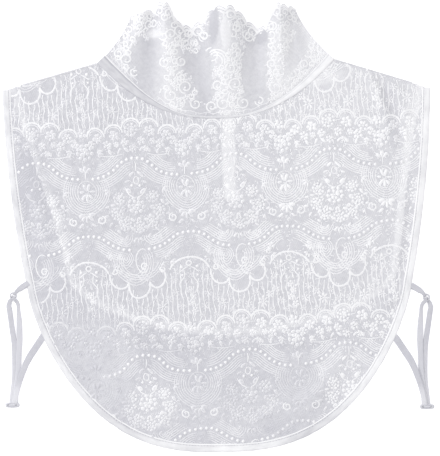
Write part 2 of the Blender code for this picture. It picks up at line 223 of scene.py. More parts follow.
@dataclass(frozen=True)
class Field:
    """Values on a square grid of the plane, read in straight lines between its points."""

    values: Array
    corner: tuple[float, float] = (-200 * MM, -212 * MM)
    step: float = 2 * MM

    @classmethod
    def of(cls, formula: Plan) -> "Field":
        """Works a formula out on the grid, which reaches as far to each side of the origin."""
        x, y = (np.arange(low, cls.step - low, cls.step) for low in cls.corner)
        return cls(formula(np.stack(np.meshgrid(x, y), axis=-1)))

    def at(self, plan: Array) -> Array:
        """Values at points of the plane."""
        place = (plan[..., :2] - np.array(self.corner)) / self.step
        whole = np.clip(place.astype(int), 0, np.array(self.values.shape[::-1]) - 2)
        part = np.clip(place - whole, 0.0, 1.0)
        x, share = whole[..., 0], part[..., 0]
        low, high = (
            self.values[y, x] * (1 - share) + self.values[y, x + 1] * share
            for y in (whole[..., 1], whole[..., 1] + 1)
        )
        return low * (1 - part[..., 1]) + high * part[..., 1]


@dataclass(frozen=True)
class Outline:
    """A bib's outline: sides from the shoulder points to the corners, then a round hem.

    A side stands out by its bow, halfway down, beyond a straight line. Round the hem, the share
    of the corner's half width, to its power, and the share of the way down, to its own power,
    come to one. The left shoulder point stands a little higher than the right one.
    """

    shoulder_half: float
    shoulder_y: float
    corner_half: float
    corner_y: float
    hem_y: float
    bow: float
    width_power: float
    fall_power: float
    shift: float
    left_rise: float = 4.0 * MM
    rise_from: float = 0.3

    def side_bow(self, y: Array) -> Array:
        """How far a side stands out beyond a straight line at a height."""
        rise = np.clip((y - self.corner_y) / (self.shoulder_y - self.corner_y), 0.0, 1.0)
        return self.bow * 4.0 * rise * (1.0 - rise)

    def half_width(self, y: Array) -> Array:
        """Half width at a height, down the sides and round the hem."""
        ends = [self.corner_y, self.shoulder_y], [self.corner_half, self.shoulder_half]
        fall = np.clip((self.corner_y - y) / (self.corner_y - self.hem_y), 0.0, 1.0)
        hem = (1.0 - fall**self.fall_power) ** (1.0 / self.width_power)
        return (np.interp(y, *ends) + self.side_bow(y)) * hem

    def sideways(self, y: Array) -> Array:
        """How far the bib lies to +X at a height."""
        return self.shift * eased((self.shoulder_y - y) / (self.shoulder_y - self.corner_y))

    def edge(self, side_steps: int, hem_steps: int) -> Array:
        """Points from the left shoulder point down, round the hem and up the right side.

        Args:
            side_steps: points down a side, or 0 to start at the corner.
            hem_steps: points round half the hem, at even steps of the angle.

        Returns:
            The points in the plane.
        """
        side_y = np.linspace(self.shoulder_y, self.corner_y, side_steps, endpoint=False)
        turn = np.linspace(0.0, np.pi / 2, hem_steps)
        depth = self.corner_y - self.hem_y
        y = np.concatenate([side_y, self.corner_y - depth * np.sin(turn) ** (2 / self.fall_power)])
        half = self.half_width(y)
        half[-1] = 0.0
        left = np.stack([-half, y], axis=1)
        edge = np.concatenate([left, (left * (-1.0, 1.0))[-2::-1]])
        edge[:, 0] += self.sideways(edge[:, 1])
        near = (edge[:, 1] / self.shoulder_y - self.rise_from) / (1.0 - self.rise_from)
        risen = self.left_rise * eased(near)
        edge[:, 1] += np.where(edge[:, 0] < 0.0, risen, 0.0)
        return edge

    def beyond(self, plan: Array) -> Array:
        """How far points of the plane lie outside the bib's sides and hem, negative inside."""
        edge = self.edge(24, 40)
        start, step = edge[:-1], np.diff(edge, axis=0)
        point = plan[..., None, :2]
        along = ((point - start) * step).sum(-1) / (step * step).sum(-1)
        gap = point - start - np.clip(along, 0.0, 1.0)[..., None] * step
        nearest = np.linalg.norm(gap, axis=-1).min(-1)
        x, y = plan[..., 0], plan[..., 1]
        inside = np.abs(x - self.sideways(y)) < self.half_width(y)
        return np.where(inside, -nearest, nearest)


@dataclass(frozen=True)
class Cut:
    """Sizes that the pieces share: the outlines, the neck opening and the trims."""

    front: Outline = Outline(
        192.5 * MM, 123 * MM, 172.8 * MM, -53.5 * MM, -202 * MM, 4 * MM, 2.65, 1.33, 0.0
    )
    back: Outline = Outline(
        187 * MM, 123 * MM, 150 * MM, -38 * MM, -97.5 * MM, -3 * MM, 1.8, 1.8, 11.5 * MM
    )
    neck_half: float = 107.5 * MM
    neck_y: float = 150 * MM
    neck_power: float = 2.3
    front_dip: float = 98 * MM
    back_dip: float = 130 * MM
    binding_width: float = 7.6 * MM
    binding_thickness: float = 1.5 * MM
    seam_width: float = 2.0 * MM
    seam_height: float = 3.0 * MM
    seam_end: float = 176 * MM
    gap: float = 0.3 * MM
    placket_x: float = 10.5 * MM
    placket_width: float = 11 * MM
    placket_foot: float = 25 * MM
    lift_kept: float = 8 * MM
    lift_gone: float = 22 * MM
    band: tuple = (
        ("across", "width"),
        (
            (-107.5, 11.4), (-95, 11.2), (-82, 9.8), (-67, 7.4), (-54, 5.2), (-40, 2.7),
            (-27, 1.6), (27, 1.6), (40, 2.3), (54, 4.0), (76, 6.2), (90, 7.6), (107.5, 8.8),
        ),
    )

    @property
    def lift(self) -> float:
        """Height of the front bib's underside over the back bib."""
        return self.binding_thickness + self.gap

    def shoulder_line(self, x: Array) -> Array:
        """Height of the shoulder line at a place across, straight from the neck outwards."""
        low = self.front.shoulder_y + np.where(x < 0.0, self.front.left_rise, 0.0)
        drop = (self.neck_y - low) / (self.front.shoulder_half - self.neck_half)
        return self.neck_y - (np.abs(x) - self.neck_half) * drop

    def neck_line(self, x: Array, dip: float) -> Array:
        """Height of a neck edge at a place across: a power curve from its dip to the shoulders."""
        return dip + (self.neck_y - dip) * (np.abs(x) / self.neck_half) ** self.neck_power

    def top(self, x: Array, dip: float) -> Array:
        """Height of a bib's top edge: the lower of its shoulder seam and its neck line."""
        return np.minimum(self.shoulder_line(x) - self.seam_width, self.neck_line(x, dip))

    def neck_frame(self, x: Array) -> tuple[Array, Array]:
        """Points on the front neck line and unit vectors from it into the neck opening."""
        step = 0.01 * MM
        rise = self.neck_line(x + step, self.front_dip) - self.neck_line(x - step, self.front_dip)
        slope = rise / (2 * step)
        into = unit(np.stack([-slope, np.ones_like(slope)], axis=-1))
        return np.stack([x, self.neck_line(x, self.front_dip)], axis=-1), into

    def band_width(self, x: Array) -> Array:
        """Width of the neck band at a place across."""
        return np.interp(x, column(self.band, "across") * MM, column(self.band, "width") * MM)


CUT = Cut()
BEYOND_FRONT = Field.of(CUT.front.beyond)
BEYOND_BACK = Field.of(CUT.back.beyond)


def front_lift(plan: Array) -> Array:
    """Lift of the front layer: whole over the back bib, eased away beyond its edge."""
    away = (BEYOND_BACK.at(plan) - CUT.lift_kept) / (CUT.lift_gone - CUT.lift_kept)
    return CUT.lift * (1.0 - eased(away))


@dataclass(frozen=True)
class Creases:
    """Soft ridges and troughs of a cloth, each along a bowed line, and a shallow unevenness.

    A crease's height falls off as a bell curve across it and eases in and out along it.
    """

    rows: tuple
    uneven: float = 0.18 * MM
    ease: float = 0.3

    def at(self, plan: Array) -> Array:
        """Height that the creases add at points of the plane."""
        x, y = plan[..., 0], plan[..., 1]
        height = self.uneven * (
            np.sin(91 * x + 37 * y + 0.4) + np.sin(58 * x - 83 * y + 2.1) * np.sin(29 * x + 1.3)
        )
        for from_x, from_y, to_x, to_y, bow, width, tall in self.rows:
            start = np.array([from_x, from_y]) * MM
            step = np.array([to_x, to_y]) * MM - start
            size = np.linalg.norm(step)
            along = step / size
            gone = (plan[..., :2] - start) @ along / size
            aside = (plan[..., :2] - start) @ np.array([-along[1], along[0]])
            aside = aside - bow * MM * 4.0 * gone * (1.0 - gone)
            ends = eased(gone / self.ease) * eased((1.0 - gone) / self.ease)
            height = height + tall * MM * ends * bell(aside, 0.0, width * MM)
        return height


# Creases of the front bib, in millimetres: both ends, bow, width and height
FRONT_CREASES = Creases((
    (128, 146, 158, 84, 3, 6.0, 1.6), (141, 143, 167, 60, 4, 4.0, -1.2),
    (156, 138, 172, 84, 2, 4.5, 1.3), (173, 42, 160, -66, 4, 3.5, -0.9),
    (165, 34, 156, -40, 3, 5.0, 0.8), (88, 112, 122, 40, -6, 9.0, 0.9),
    (-98, 122, -140, 52, 6, 8.0, 1.0), (-120, 128, -158, 70, -4, 6.0, 0.8),
    (-162, 60, -152, -38, -4, 6.0, 0.7), (-60, 88, -84, 10, 5, 10.0, 0.6),
    (-118, -96, -60, -168, -8, 8.0, 1.1), (-96, -122, -30, -176, -8, 7.0, 0.8),
    (118, -94, 66, -164, 8, 8.0, 1.3), (104, -128, 46, -178, 8, 6.0, 1.0),
    (20, -182, 92, -150, 5, 5.0, 0.9), (-128, -104, 124, -104, -16, 7.0, 0.5),
    (30, 84, 52, 12, 4, 9.0, 0.6), (-10, -120, -4, -188, 3, 9.0, 0.7),
))
FRONT_RELIEF = Field.of(lambda plan: front_lift(plan) + FRONT_CREASES.at(plan))


def nothing(plan: Array) -> Array:
    """Nought at every point of the plane."""
    return 0.0 * plan[..., 0]


BACK_RELIEF = Field.of(nothing)


# How much whiter the front bib is over the back bib, its binding and the placket
OVER_BACK = 0.2
OVER_BINDING = 0.3
OVER_UPPER_BINDING = 0.4
OVER_PLACKET = 0.9
# How white the front bib is at the left, and how much whiter at the right
LEFT_WHITE = 0.1
RIGHT_WHITE = 0.3


def show_through(plan: Array) -> Array:
    """How white the layers under the front bib make it, from 0 over the bare surface to 1.

    The back bib adds a little, its binding more and the placket most, each with a soft edge.
    The right side is whiter, and there the upper part of the binding.
    """
    soft = 1.6 * MM
    x, y = plan[..., 0], plan[..., 1]
    beyond = BEYOND_BACK.at(plan)
    inside = eased(-beyond / soft)
    band = inside * eased((beyond + CUT.binding_width) / soft)
    strip = eased((CUT.placket_width / 2 - np.abs(x - CUT.placket_x)) / soft + 0.5)
    strip = strip * eased((y - CUT.placket_foot) / soft)
    right = eased((x + 0.1) / 0.28)
    upper = eased((y + 0.03) / 0.05)
    binding = (OVER_BINDING + OVER_UPPER_BINDING * right * upper) * band
    tint = OVER_BACK * inside + binding + OVER_PLACKET * strip + RIGHT_WHITE * right
    return np.clip(tint + LEFT_WHITE, 0.0, 1.0)


@dataclass(frozen=True)
class Ovals:
    """Leaning ovals in the plane, each with a tone: how much whiter it makes what lies there.

    Rows are x, y, half width, half height, lean and tone, in millimetres. A point's distance
    counts in half sizes of the oval: 1 on its rim.
    """

    rows: tuple

    def away(self, plan: Array) -> Array:
        """Distance of points of the plane from each oval's middle, in half sizes."""
        x, y, wide, tall, lean, _ = np.array(self.rows).T
        across, up = plan[..., :1] / MM - x, plan[..., 1:2] / MM - y
        return np.hypot((across + lean * up) / wide, up / tall)

    def holds(self, plan: Array) -> Array:
        """Whether points of the plane lie in any oval."""
        return (self.away(plan) < 1.0).any(-1)

    def tone(self, plan: Array) -> Array:
        """How much whiter points of the plane are: whole at the middle, none past the rim."""
        return (np.array(self.rows)[:, 5] * eased(1.6 - 1.2 * self.away(plan))).sum(-1)


# Patches where the bib's lace is made brighter or duller; two are painted shade, in the crease trough by
# the right shoulder and by the hem at the bottom right
LACE_PATCHES = Ovals((
    (104, 112, 62, 42, 0, 0.6), (120, -30, 90, 170, 0, 0.4), (-62, -155, 22, 26, 0, 0.55),
    (-98, -146, 18, 20, 0, -0.4), (-123, -128, 16, 11, 0, -1.2), (62, -180, 30, 13, 0, -1.0),
    (74, -138, 24, 30, 0, -0.6), (112, -132, 22, 26, 0, 0.5), (88, 42, 37, 30, 0, 0.2),
    (-168, 46, 16, 32, 0, -0.5), (-126, -112, 37, 37, 0, -0.4), (20, -150, 50, 25, 0, -0.1),
    (128, -80, 25, 20, 0, 0.2), (98, 133, 17, 6.5, -1.2, 0.9), (168, -10, 14, 60, 0, 0.25),
    (177, 90, 9, 40, 0, 0.55), (156, 103, 9, 34, 0.1, -0.7),
))
# Patches where the bib's net looks brighter or duller than its lace would make it
NET_PATCHES = Ovals((
    (104, 112, 62, 42, 0, -0.12), (120, -30, 90, 170, 0, -0.22), (74, -138, 24, 30, 0, 0.25),
    (-120, -118, 42, 42, 0, 0.36), (-123, -128, 16, 11, 0, 0.4), (-98, -146, 18, 20, 0, 0.2),
    (62, -180, 30, 13, 0, 0.32), (-10, -165, 90, 24, 0, 0.12),
))
# Parts of the collar without lace, each with a tone; at the centre fold the left face is painted shade
# and the right face painted light
PLAIN_ZONES = Ovals((
    (-60.5, 141.5, 10.5, 26.0, 0.05, 0.06), (-12.5, 140.0, 9.0, 17.0, -0.1, 0.08),
    (33.0, 140.0, 10.0, 27.0, 0.0, 0.1), (76.0, 164.0, 8.0, 27.0, -0.45, -0.1),
    (-1.1, 180.7, 4.2, 18.0, -0.08, -0.6), (9.3, 176.0, 4.5, 14.0, 0.05, 0.9),
    (42.0, 170.0, 5.5, 7.0, 0.0, -0.4), (-55.0, 175.5, 7.5, 4.5, 0.0, 0.8),
))
# Where a fold hides the lace at the collar's edge
BARE_EDGE = Ovals(((-0.9, 192.4, 3.6, 12.0, 0.1, 0.0),))
# Parts of the collar filled with close lace, whiter than the net round them
THICKETS = Ovals((
    (-80.0, 173.0, 12.0, 22.0, -0.31, 0.3), (-62.0, 184.0, 14.0, 13.0, 0.0, 0.3),
    (-12.5, 182.0, 5.0, 10.0, 0.0, 0.1), (-84.5, 150.5, 7.0, 15.0, -0.5, 0.0),
    (-37.0, 142.0, 10.5, 40.0, 0.02, 0.4), (-22.0, 124.0, 9.0, 15.0, 0.0, 0.1),
    (-20.0, 168.0, 8.0, 12.0, 0.0, 0.0), (12.0, 130.0, 16.0, 32.0, 0.0, 0.35),
    (22.0, 170.0, 7.0, 22.0, 0.25, 0.0), (60.0, 143.0, 14.0, 42.0, -0.05, 0.5),
    (76.0, 128.0, 12.0, 13.0, -0.5, 0.3), (90.0, 150.0, 6.0, 18.0, 0.3, 0.4),
    (95.0, 163.0, 6.5, 22.0, 0.8, 0.15), (80.0, 174.0, 3.5, 14.0, 0.6, 0.2),
))


def lace_white(plan: Array) -> Array:
    """How white the front bib's threads look: as its net, with brighter and duller patches, painted shade
    among them.
    """
    return show_through(plan) - LEFT_WHITE + LACE_PATCHES.tone(plan)


def net_white(plan: Array) -> Array:
    """How white the front bib's net looks, which follows its threads' patches a little, painted shade
    among them.
    """
    return show_through(plan) + 0.35 * LACE_PATCHES.tone(plan) + NET_PATCHES.tone(plan)


@dataclass(frozen=True)
class Flutes:
    """The collar's shape: where each flute meets the neck line and the top edge, and its height.

    A point moves along a line from the seam to the top edge, bowed towards the centre, and
    stands up by the flute's height times a power of its rise.
    """

    # The white column makes a flute whiter: high on the tall ridges and low in the troughs between them,
    # as painted light and painted shade, and high at the right end.
    table: tuple = (
        ("neck_x", "top_x", "top_y", "height", "scallops", "white"),
        (
            (-107.0, -74.5, 195.5, 0.9, 0, 0.2),
            (-94.0, -65.0, 197.0, 9.0, 1, 0.4),
            (-71.0, -55.0, 198.5, 4.2, 2, 0.1),
            (-45.0, -46.0, 202.2, 16.0, 3, 0.7),
            (-11.0, -21.5, 181.5, 4.5, 6, 0.15),
            (12.0, 9.5, 198.5, 18.0, 9, 0.7),
            (37.0, 38.0, 177.0, 4.2, 12, 0.3),
            (63.0, 59.5, 200.5, 16.0, 15, 0.85),
            (86.0, 66.0, 198.5, 7.0, 16, 0.7),
            (107.0, 72.5, 195.0, 0.9, 17, 0.8),
        ),
    )
    silhouette: tuple = (
        ("place", "rise"),
        (
            (0.0, 1.0), (0.8, 0.99), (2.0, 0.96), (2.4, 1.03), (3.2, 1.01), (3.45, 0.92),
            (3.8, 0.98), (4.2, 1.02), (4.7, 1.04), (4.9, 1.0), (5.4, 1.04), (5.8, 1.05),
            (6.2, 1.01), (6.4, 0.96), (6.65, 1.03), (7.1, 1.0), (7.9, 0.99), (9.0, 1.05),
        ),
    )
    foot: float = 2.8 * MM
    seams: float = 0.75 * MM
    bow: float = 3.0 * MM
    arch_power: float = 0.75
    arch_level: float = 0.75
    slope_step: float = 0.01
    search_step: float = 0.004
    search_rounds: int = 6
    tries: tuple[int, int] = (55, 9)
    growth: float = 0.8
    scallop_rise: float = 0.04

    @property
    def last(self) -> int:
        """The place of the right side fold."""
        return len(self.table[1]) - 1

    def read(self, name: str, place: Array, smooth: bool) -> Array:
        """A column of the table along the collar, level at each flute if smooth."""
        values = column(self.table, name)
        whole = np.clip(np.floor(place).astype(int), 0, self.last - 1)
        part = place - whole
        part = eased(part) if smooth else part
        return values[whole] + (values[whole + 1] - values[whole]) * part

    def point(self, place: Array, rise: Array) -> Array:
        """Middle of the collar's wall: place counts the flutes, rise goes from seam to top."""
        place, rise = np.broadcast_arrays(place, rise)
        neck_x = self.read("neck_x", place, False) * MM
        line, into = CUT.neck_frame(neck_x)
        foot = line + into * (CUT.band_width(neck_x) + self.seams)[..., None]
        top = np.stack(
            [self.read("top_x", place, False), self.read("top_y", place, True)], axis=-1
        )
        plan = foot + (top * MM - foot) * rise[..., None]
        plan[..., 0] -= self.bow * 4.0 * rise * (1.0 - rise) * neck_x / CUT.neck_half
        grown = np.clip(rise, 0.0, 1.0) ** self.growth
        height = self.foot + (self.read("height", place, True) * MM - self.foot) * grown
        return raised(plan, height)

    def lowered(self, place: Array, rise: Array, drop: float, least: float = 0.5 * MM) -> Array:
        """The same points let down by a drop, but not below a least height."""
        points = self.point(place, rise)
        points[..., 2] = np.maximum(points[..., 2] - drop, least)
        return points

    def normal(self, place: Array, rise: Array) -> Array:
        """Unit vectors out of the collar's upper face, from its slopes both ways."""
        step = self.slope_step
        place, rise = np.broadcast_arrays(place, rise)
        along = self.point(place + step, rise) - self.point(place - step, rise)
        up = self.point(place, rise + step) - self.point(place, rise - step)
        out = unit(np.cross(along, up))
        return out * np.where(out[..., 2:] < 0, -1.0, 1.0)

    def edge_rise(self, place: Array) -> Array:
        """Rise of the scalloped top edge: the silhouette, with an arch in each scallop."""
        rows = self.silhouette
        base = np.interp(place, column(rows, "place"), column(rows, "rise"))
        arch = np.abs(np.sin(np.pi * self.read("scallops", place, False))) ** self.arch_power
        return base + self.scallop_rise * (arch - self.arch_level)

    def scallop_place(self, scallop: Array) -> Array:
        """Place along the collar at a count of scallops from the left side fold."""
        return np.interp(scallop, column(self.table, "scallops"), np.arange(self.last + 1.0))

    def located(self, plan: Array) -> tuple[Array, Array]:
        """Finds place and rise under points of the plane.

        It starts from the nearest point of a coarse grid and goes on by Newton steps.
        """
        shape = plan.shape[:-1]
        plan = plan.reshape(-1, 2)
        tries = (np.linspace(0, end, count) for end, count in zip((self.last, 1.08), self.tries))
        place, rise = (grid.ravel() for grid in np.meshgrid(*tries))
        nearest = ((plan[:, None] - self.point(place, rise)[:, :2]) ** 2).sum(-1).argmin(1)
        place, rise = place[nearest], rise[nearest]
        step = self.search_step
        for _ in range(self.search_rounds):
            here = self.point(place, rise)[:, :2]
            along = (self.point(place + step, rise)[:, :2] - here) / step
            up = (self.point(place, rise + step)[:, :2] - here) / step
            area, off = spanned(along, up), plan - here
            move = np.clip(spanned(off, up) / area, -0.4, 0.4)
            place = np.clip(place + move, -0.2, self.last + 0.2)
            rise = np.clip(rise + np.clip(spanned(along, off) / area, -0.3, 0.3), -0.2, 1.25)
        return place.reshape(shape), rise.reshape(shape)


FLUTES = Flutes()


@dataclass(frozen=True)
class BibGround:
    """A bib's net: a height field inside its outline, under its neck line and shoulders."""

    relief: Field
    beyond: Field
    dip: float
    surface: float
    fullness_and_painted_light: Plan
    slit: bool = False
    tucked: float = 1.5 * MM

    def lifted(self, plan: Array) -> tuple[Array, Array]:
        """Points on the net over points of the plane, and normals from the field's slopes."""
        step = np.array([1.0 * MM, 0.0])
        east, north = (
            self.relief.at(plan + toward) - self.relief.at(plan - toward) for toward in (step, step[::-1])
        )
        run = np.full_like(east, 2 * step[0])
        points = raised(plan, self.relief.at(plan) + self.surface)
        return points, unit(np.stack([-east, -north, run], axis=-1))

    def covers(self, plan: Array) -> Array:
        """Whether points lie inside the outline, tucked a little under its trims."""
        x, y = plan[..., 0], plan[..., 1]
        inside = self.beyond.at(plan) < self.tucked - CUT.binding_width
        inside &= y < CUT.top(x, self.dip) + self.tucked - CUT.gap
        if self.slit:
            aside = np.abs(x - CUT.placket_x) > CUT.placket_width / 2 - self.tucked
            inside &= aside | (y < CUT.placket_foot + self.tucked)
        return inside


@dataclass(frozen=True)
class CollarGround:
    """The collar's net, or a stretch of it that lies lower, between two places."""

    start: float
    end: float
    drop: float
    surface: float
    back: bool = False
    back_end: float = 0.88
    plain_end: float = 0.93

    def lifted(self, plan: Array) -> tuple[Array, Array]:
        """Points on the collar's upper face over points of the plane, and unit normals there."""
        place, rise = FLUTES.located(plan)
        out = FLUTES.normal(place, rise)
        points = FLUTES.lowered(place, rise, self.drop)
        points[..., :2] = plan
        return points + out * self.surface, out

    def covers(self, plan: Array) -> Array:
        """Whether points lie between the two places, above the seam and below the top edge."""
        place, rise = FLUTES.located(plan)
        inside = (place > self.start) & (place < self.end) & (rise > 0.0)
        inside &= ~PLAIN_ZONES.holds(plan) | (rise > self.plain_end)
        inside &= ~BARE_EDGE.holds(plan)
        if self.back:
            foot = CUT.neck_line(plan[..., 0], CUT.back_dip)
            return inside & (rise < self.back_end) & (plan[..., 1] > foot)
        return inside & (rise < FLUTES.edge_rise(place))

    def fullness_and_painted_light(self, plan: Array) -> Array:
        """How white the threads look: painted light on the tall flutes and painted shade in the troughs
        between them, and whiter in close lace.
        """
        return 0.5 * FLUTES.read("white", FLUTES.located(plan)[0], True) + THICKETS.tone(plan)


Ground = BibGround | CollarGround
SUNK = 0.12 * MM
PETAL_SIDES = 7
SHARP_ANGLE = 1.4
# A petal's middle ring, as shares of its size and height, and how much its outer end flares
PETAL_RING = 0.68
PETAL_RING_HEIGHT = 0.72
PETAL_FLARE = 0.22
# How white petals and dots are, and how much greyer their hearts
PETAL_WHITE = (0.55, 0.8)
DOT_WHITE = (1.3, 0.0)


def linked(name: str, data: bpy.types.ID) -> Piece:
    """A new object, in the scene."""
    made = bpy.data.objects.new(name, data)
    bpy.context.scene.collection.objects.link(made)
    return made


@dataclass
class Mould:
    """Closed bodies gathered as arrays, to become one joined mesh."""

    points: list[Array] = field(default_factory=list)
    maps: list[Array] = field(default_factory=list)
    white: list[Array] = field(default_factory=list)
    quads: list[Array] = field(default_factory=list)
    triangles: list[Array] = field(default_factory=list)
    total: int = 0

    def number(self, points: Array, maps: Array, white: Number = 0.0) -> Array:
        """Takes points in, with their two map coordinates in metres and their fullness.

        Returns:
            The number of each point.
        """
        shape = points.shape[:-1]
        self.points.append(points.reshape(-1, 3))
        self.maps.append(np.broadcast_to(maps, (*shape, 2)).reshape(-1, 2))
        self.white.append(np.broadcast_to(white, shape).reshape(-1))
        numbers = self.total + np.arange(int(np.prod(shape))).reshape(shape)
        self.total += numbers.size
        return numbers

    def faces(self, *corners: Array) -> None:
        """Adds faces of three or four corners, from the points' numbers at each corner."""
        rows = np.stack(np.broadcast_arrays(*corners), axis=-1).reshape(-1, len(corners))
        (self.quads if len(corners) == 4 else self.triangles).append(rows)

    def sweep(
        self,
        sections: Array,
        maps: Array,
        white: Number = 0.0,
        kept: Array | None = None,
        closed: bool = False,
    ) -> None:
        """Adds bodies through rows of closed sections, cut and capped where a section isn't kept.

        A section runs from the right of the path over the top to the left and back underneath.

        Args:
            sections: bodies, sections along each, points round each section, and coordinates.
            maps: map coordinates of the same points.
            white: fullness of the same points.
            kept: which sections are kept, or None for all.
            closed: whether the last section joins the first.
        """
        number = self.number(sections, maps, white)
        kept = np.ones(number.shape[:2], bool) if kept is None else kept
        run = kept & np.roll(kept, -1, axis=1)
        if not closed:
            run[:, -1] = False
        near, far = number[run], np.roll(number, -1, axis=1)[run]
        self.faces(near, far, np.roll(far, -1, axis=1), np.roll(near, -1, axis=1))
        before = np.roll(run, 1, axis=1)
        starts, ends = number[run & ~before], number[before & ~run]
        self.faces(starts[:, :1], starts[:, 1:-1], starts[:, 2:])
        self.faces(ends[:, :1], ends[:, 2:], ends[:, 1:-1])

    def ridges(
        self, points: Array, out: Array, thread: Thread, white: Number, kept: Array, closed: bool
    ) -> None:
        """Adds threads of three-sided section, with their ends narrowed.

        Args:
            points: threads, points along each, and coordinates.
            out: unit vectors away from the cloth at the same points.
            thread: which thread.
            white: fullness of each point.
            kept: which points lie on the cloth.
            closed: whether each thread joins its own start.
        """
        share = thread.beaded(points.shape[1])
        if closed:
            along = np.roll(points, -1, axis=1) - np.roll(points, 1, axis=1)
        else:
            along = np.gradient(points, axis=1)
            share[[0, -1]] *= thread.taper
        aside = unit(np.cross(along, out)) * (thread.width / 2 * share)[:, None]
        sunk = out * SUNK
        crown = points + out * (thread.height * share)[:, None]
        sections = np.stack([points + aside - sunk, crown, points - aside - sunk], axis=2)
        gone = np.cumsum(np.linalg.norm(along, axis=-1), axis=1)
        offset = np.array([1.0, 0.0, -1.0]) * thread.width / 2
        maps = np.stack(np.broadcast_arrays(offset, gone[..., None]), axis=-1)
        self.sweep(sections, maps, np.asarray(white)[..., None] + 0.0 * offset, kept, closed)

    def upright(self, points: Array, thread: Thread, white: float) -> None:
        """Adds threads that stand straight up, each open and whole."""
        out = np.broadcast_to([0.0, 0.0, 1.0], points.shape)
        kept = np.ones(points.shape[:2], bool)
        self.ridges(points, out, thread, white + 0.0 * kept, kept, False)

    def domes(
        self, points: Array, out: Array, along: Array, sizes: Array, white: Array, heart: float
    ) -> None:
        """Adds raised petals: ovals, wider at their outer end, domed up from the cloth.

        Args:
            points: middles of the petals.
            out: unit vectors away from the cloth.
            along: unit vectors along the petals.
            sizes: half length, half width and height of each.
            white: fullness of each.
            heart: how much less white its crown is.
        """
        turn = full_turn(PETAL_SIDES)
        aside = np.cross(out, along)
        rings = []
        for reach, lift in ((1.0, -SUNK), (PETAL_RING, PETAL_RING_HEIGHT * sizes[:, 2:])):
            lengthways = reach * np.cos(turn) * sizes[:, :1]
            flare = 1.0 + PETAL_FLARE * np.cos(turn)
            sideways = reach * np.sin(turn) * flare * sizes[:, 1:2]
            oval = points[:, None] + along[:, None] * lengthways[..., None]
            rings.append(oval + aside[:, None] * sideways[..., None] + (out * lift)[:, None])
        body = np.concatenate([*rings, (points + out * sizes[:, 2:])[:, None]], axis=1)
        rim_map = arc(turn)
        maps = np.concatenate([rim_map, PETAL_RING * rim_map, [[0.0, 0.0]]])
        maps = maps * sizes[:, None, :2]
        crowned = np.append(np.zeros(2 * PETAL_SIDES), heart)
        number = self.number(body, maps, white[:, None] - crowned)
        rim, middle, top = number[:, :PETAL_SIDES], number[:, PETAL_SIDES:-1], number[:, -1:]
        middle_next = np.roll(middle, -1, axis=1)
        self.faces(rim, np.roll(rim, -1, axis=1), middle_next, middle)
        self.faces(middle, middle_next, top)
        self.faces(rim[:, :1], rim[:, 2:], rim[:, 1:-1])

    def wall(self, upper: Array, under: Array, maps: Array, white: Array) -> None:
        """Adds a wall of cloth between two grids of points, closed round its rim.

        Args:
            upper: rows down, columns to the right, and coordinates.
            under: the same for the lower face.
            maps: map coordinates of the grid.
            white: fullness of the grid.
        """
        above, below = self.number(upper, maps, white), self.number(under, maps, white)
        self.faces(above[:-1, :-1], above[1:, :-1], above[1:, 1:], above[:-1, 1:])
        self.faces(below[:-1, :-1], below[:-1, 1:], below[1:, 1:], below[1:, :-1])
        rim = np.concatenate([above[:, 0], above[-1, 1:], above[-2::-1, -1], above[0, -2::-1]])
        shift = below[0, 0] - above[0, 0]
        self.faces(rim[1:], rim[:-1], rim[:-1] + shift, rim[1:] + shift)

    def piece(self, name: str, material: Material, slot: Slot) -> Piece:
        """Makes the mesh, leaves out unused points, and enters the piece, riding on the body.

        Args:
            name: the piece's name.
            material: what it is dressed in.
            slot: the record's slot that its finish is from; not used.

        Returns:
            The piece.
        """
        quads = np.concatenate([*self.quads, np.zeros((0, 4), int)])
        triangles = np.concatenate([*self.triangles, np.zeros((0, 3), int)])
        used = np.zeros(self.total, bool)
        used[quads] = True
        used[triangles] = True
        fresh = np.cumsum(used) - 1
        corners = np.concatenate([fresh[quads].ravel(), fresh[triangles].ravel()])
        starts = np.append(4 * np.arange(len(quads)), 4 * len(quads) + 3 * np.arange(len(triangles)))
        mesh = bpy.data.meshes.new(name)
        mesh.vertices.add(int(used.sum()))
        mesh.vertices.foreach_set("co", np.concatenate(self.points)[used].ravel())
        mesh.loops.add(len(corners))
        mesh.loops.foreach_set("vertex_index", corners)
        mesh.polygons.add(len(starts))
        mesh.polygons.foreach_set("loop_start", starts)
        mesh.update(calc_edges=True)
        maps = np.concatenate(self.maps)[used][corners]
        mesh.uv_layers.new(name=MAP).data.foreach_set("uv", maps.ravel())
        white = mesh.attributes.new(FULLNESS_AND_PAINTED_LIGHT, "FLOAT", "POINT")
        white.data.foreach_set("value", np.concatenate(self.white)[used])
        mesh.validate()
        mesh.shade_smooth()
        mesh.set_sharp_from_angle(angle=SHARP_ANGLE)
        mesh.materials.append(material)
        made = linked(name, mesh)
        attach(made, BODY)
        log.info("%s: %d triangles", name, 2 * len(quads) + len(triangles))
        return made


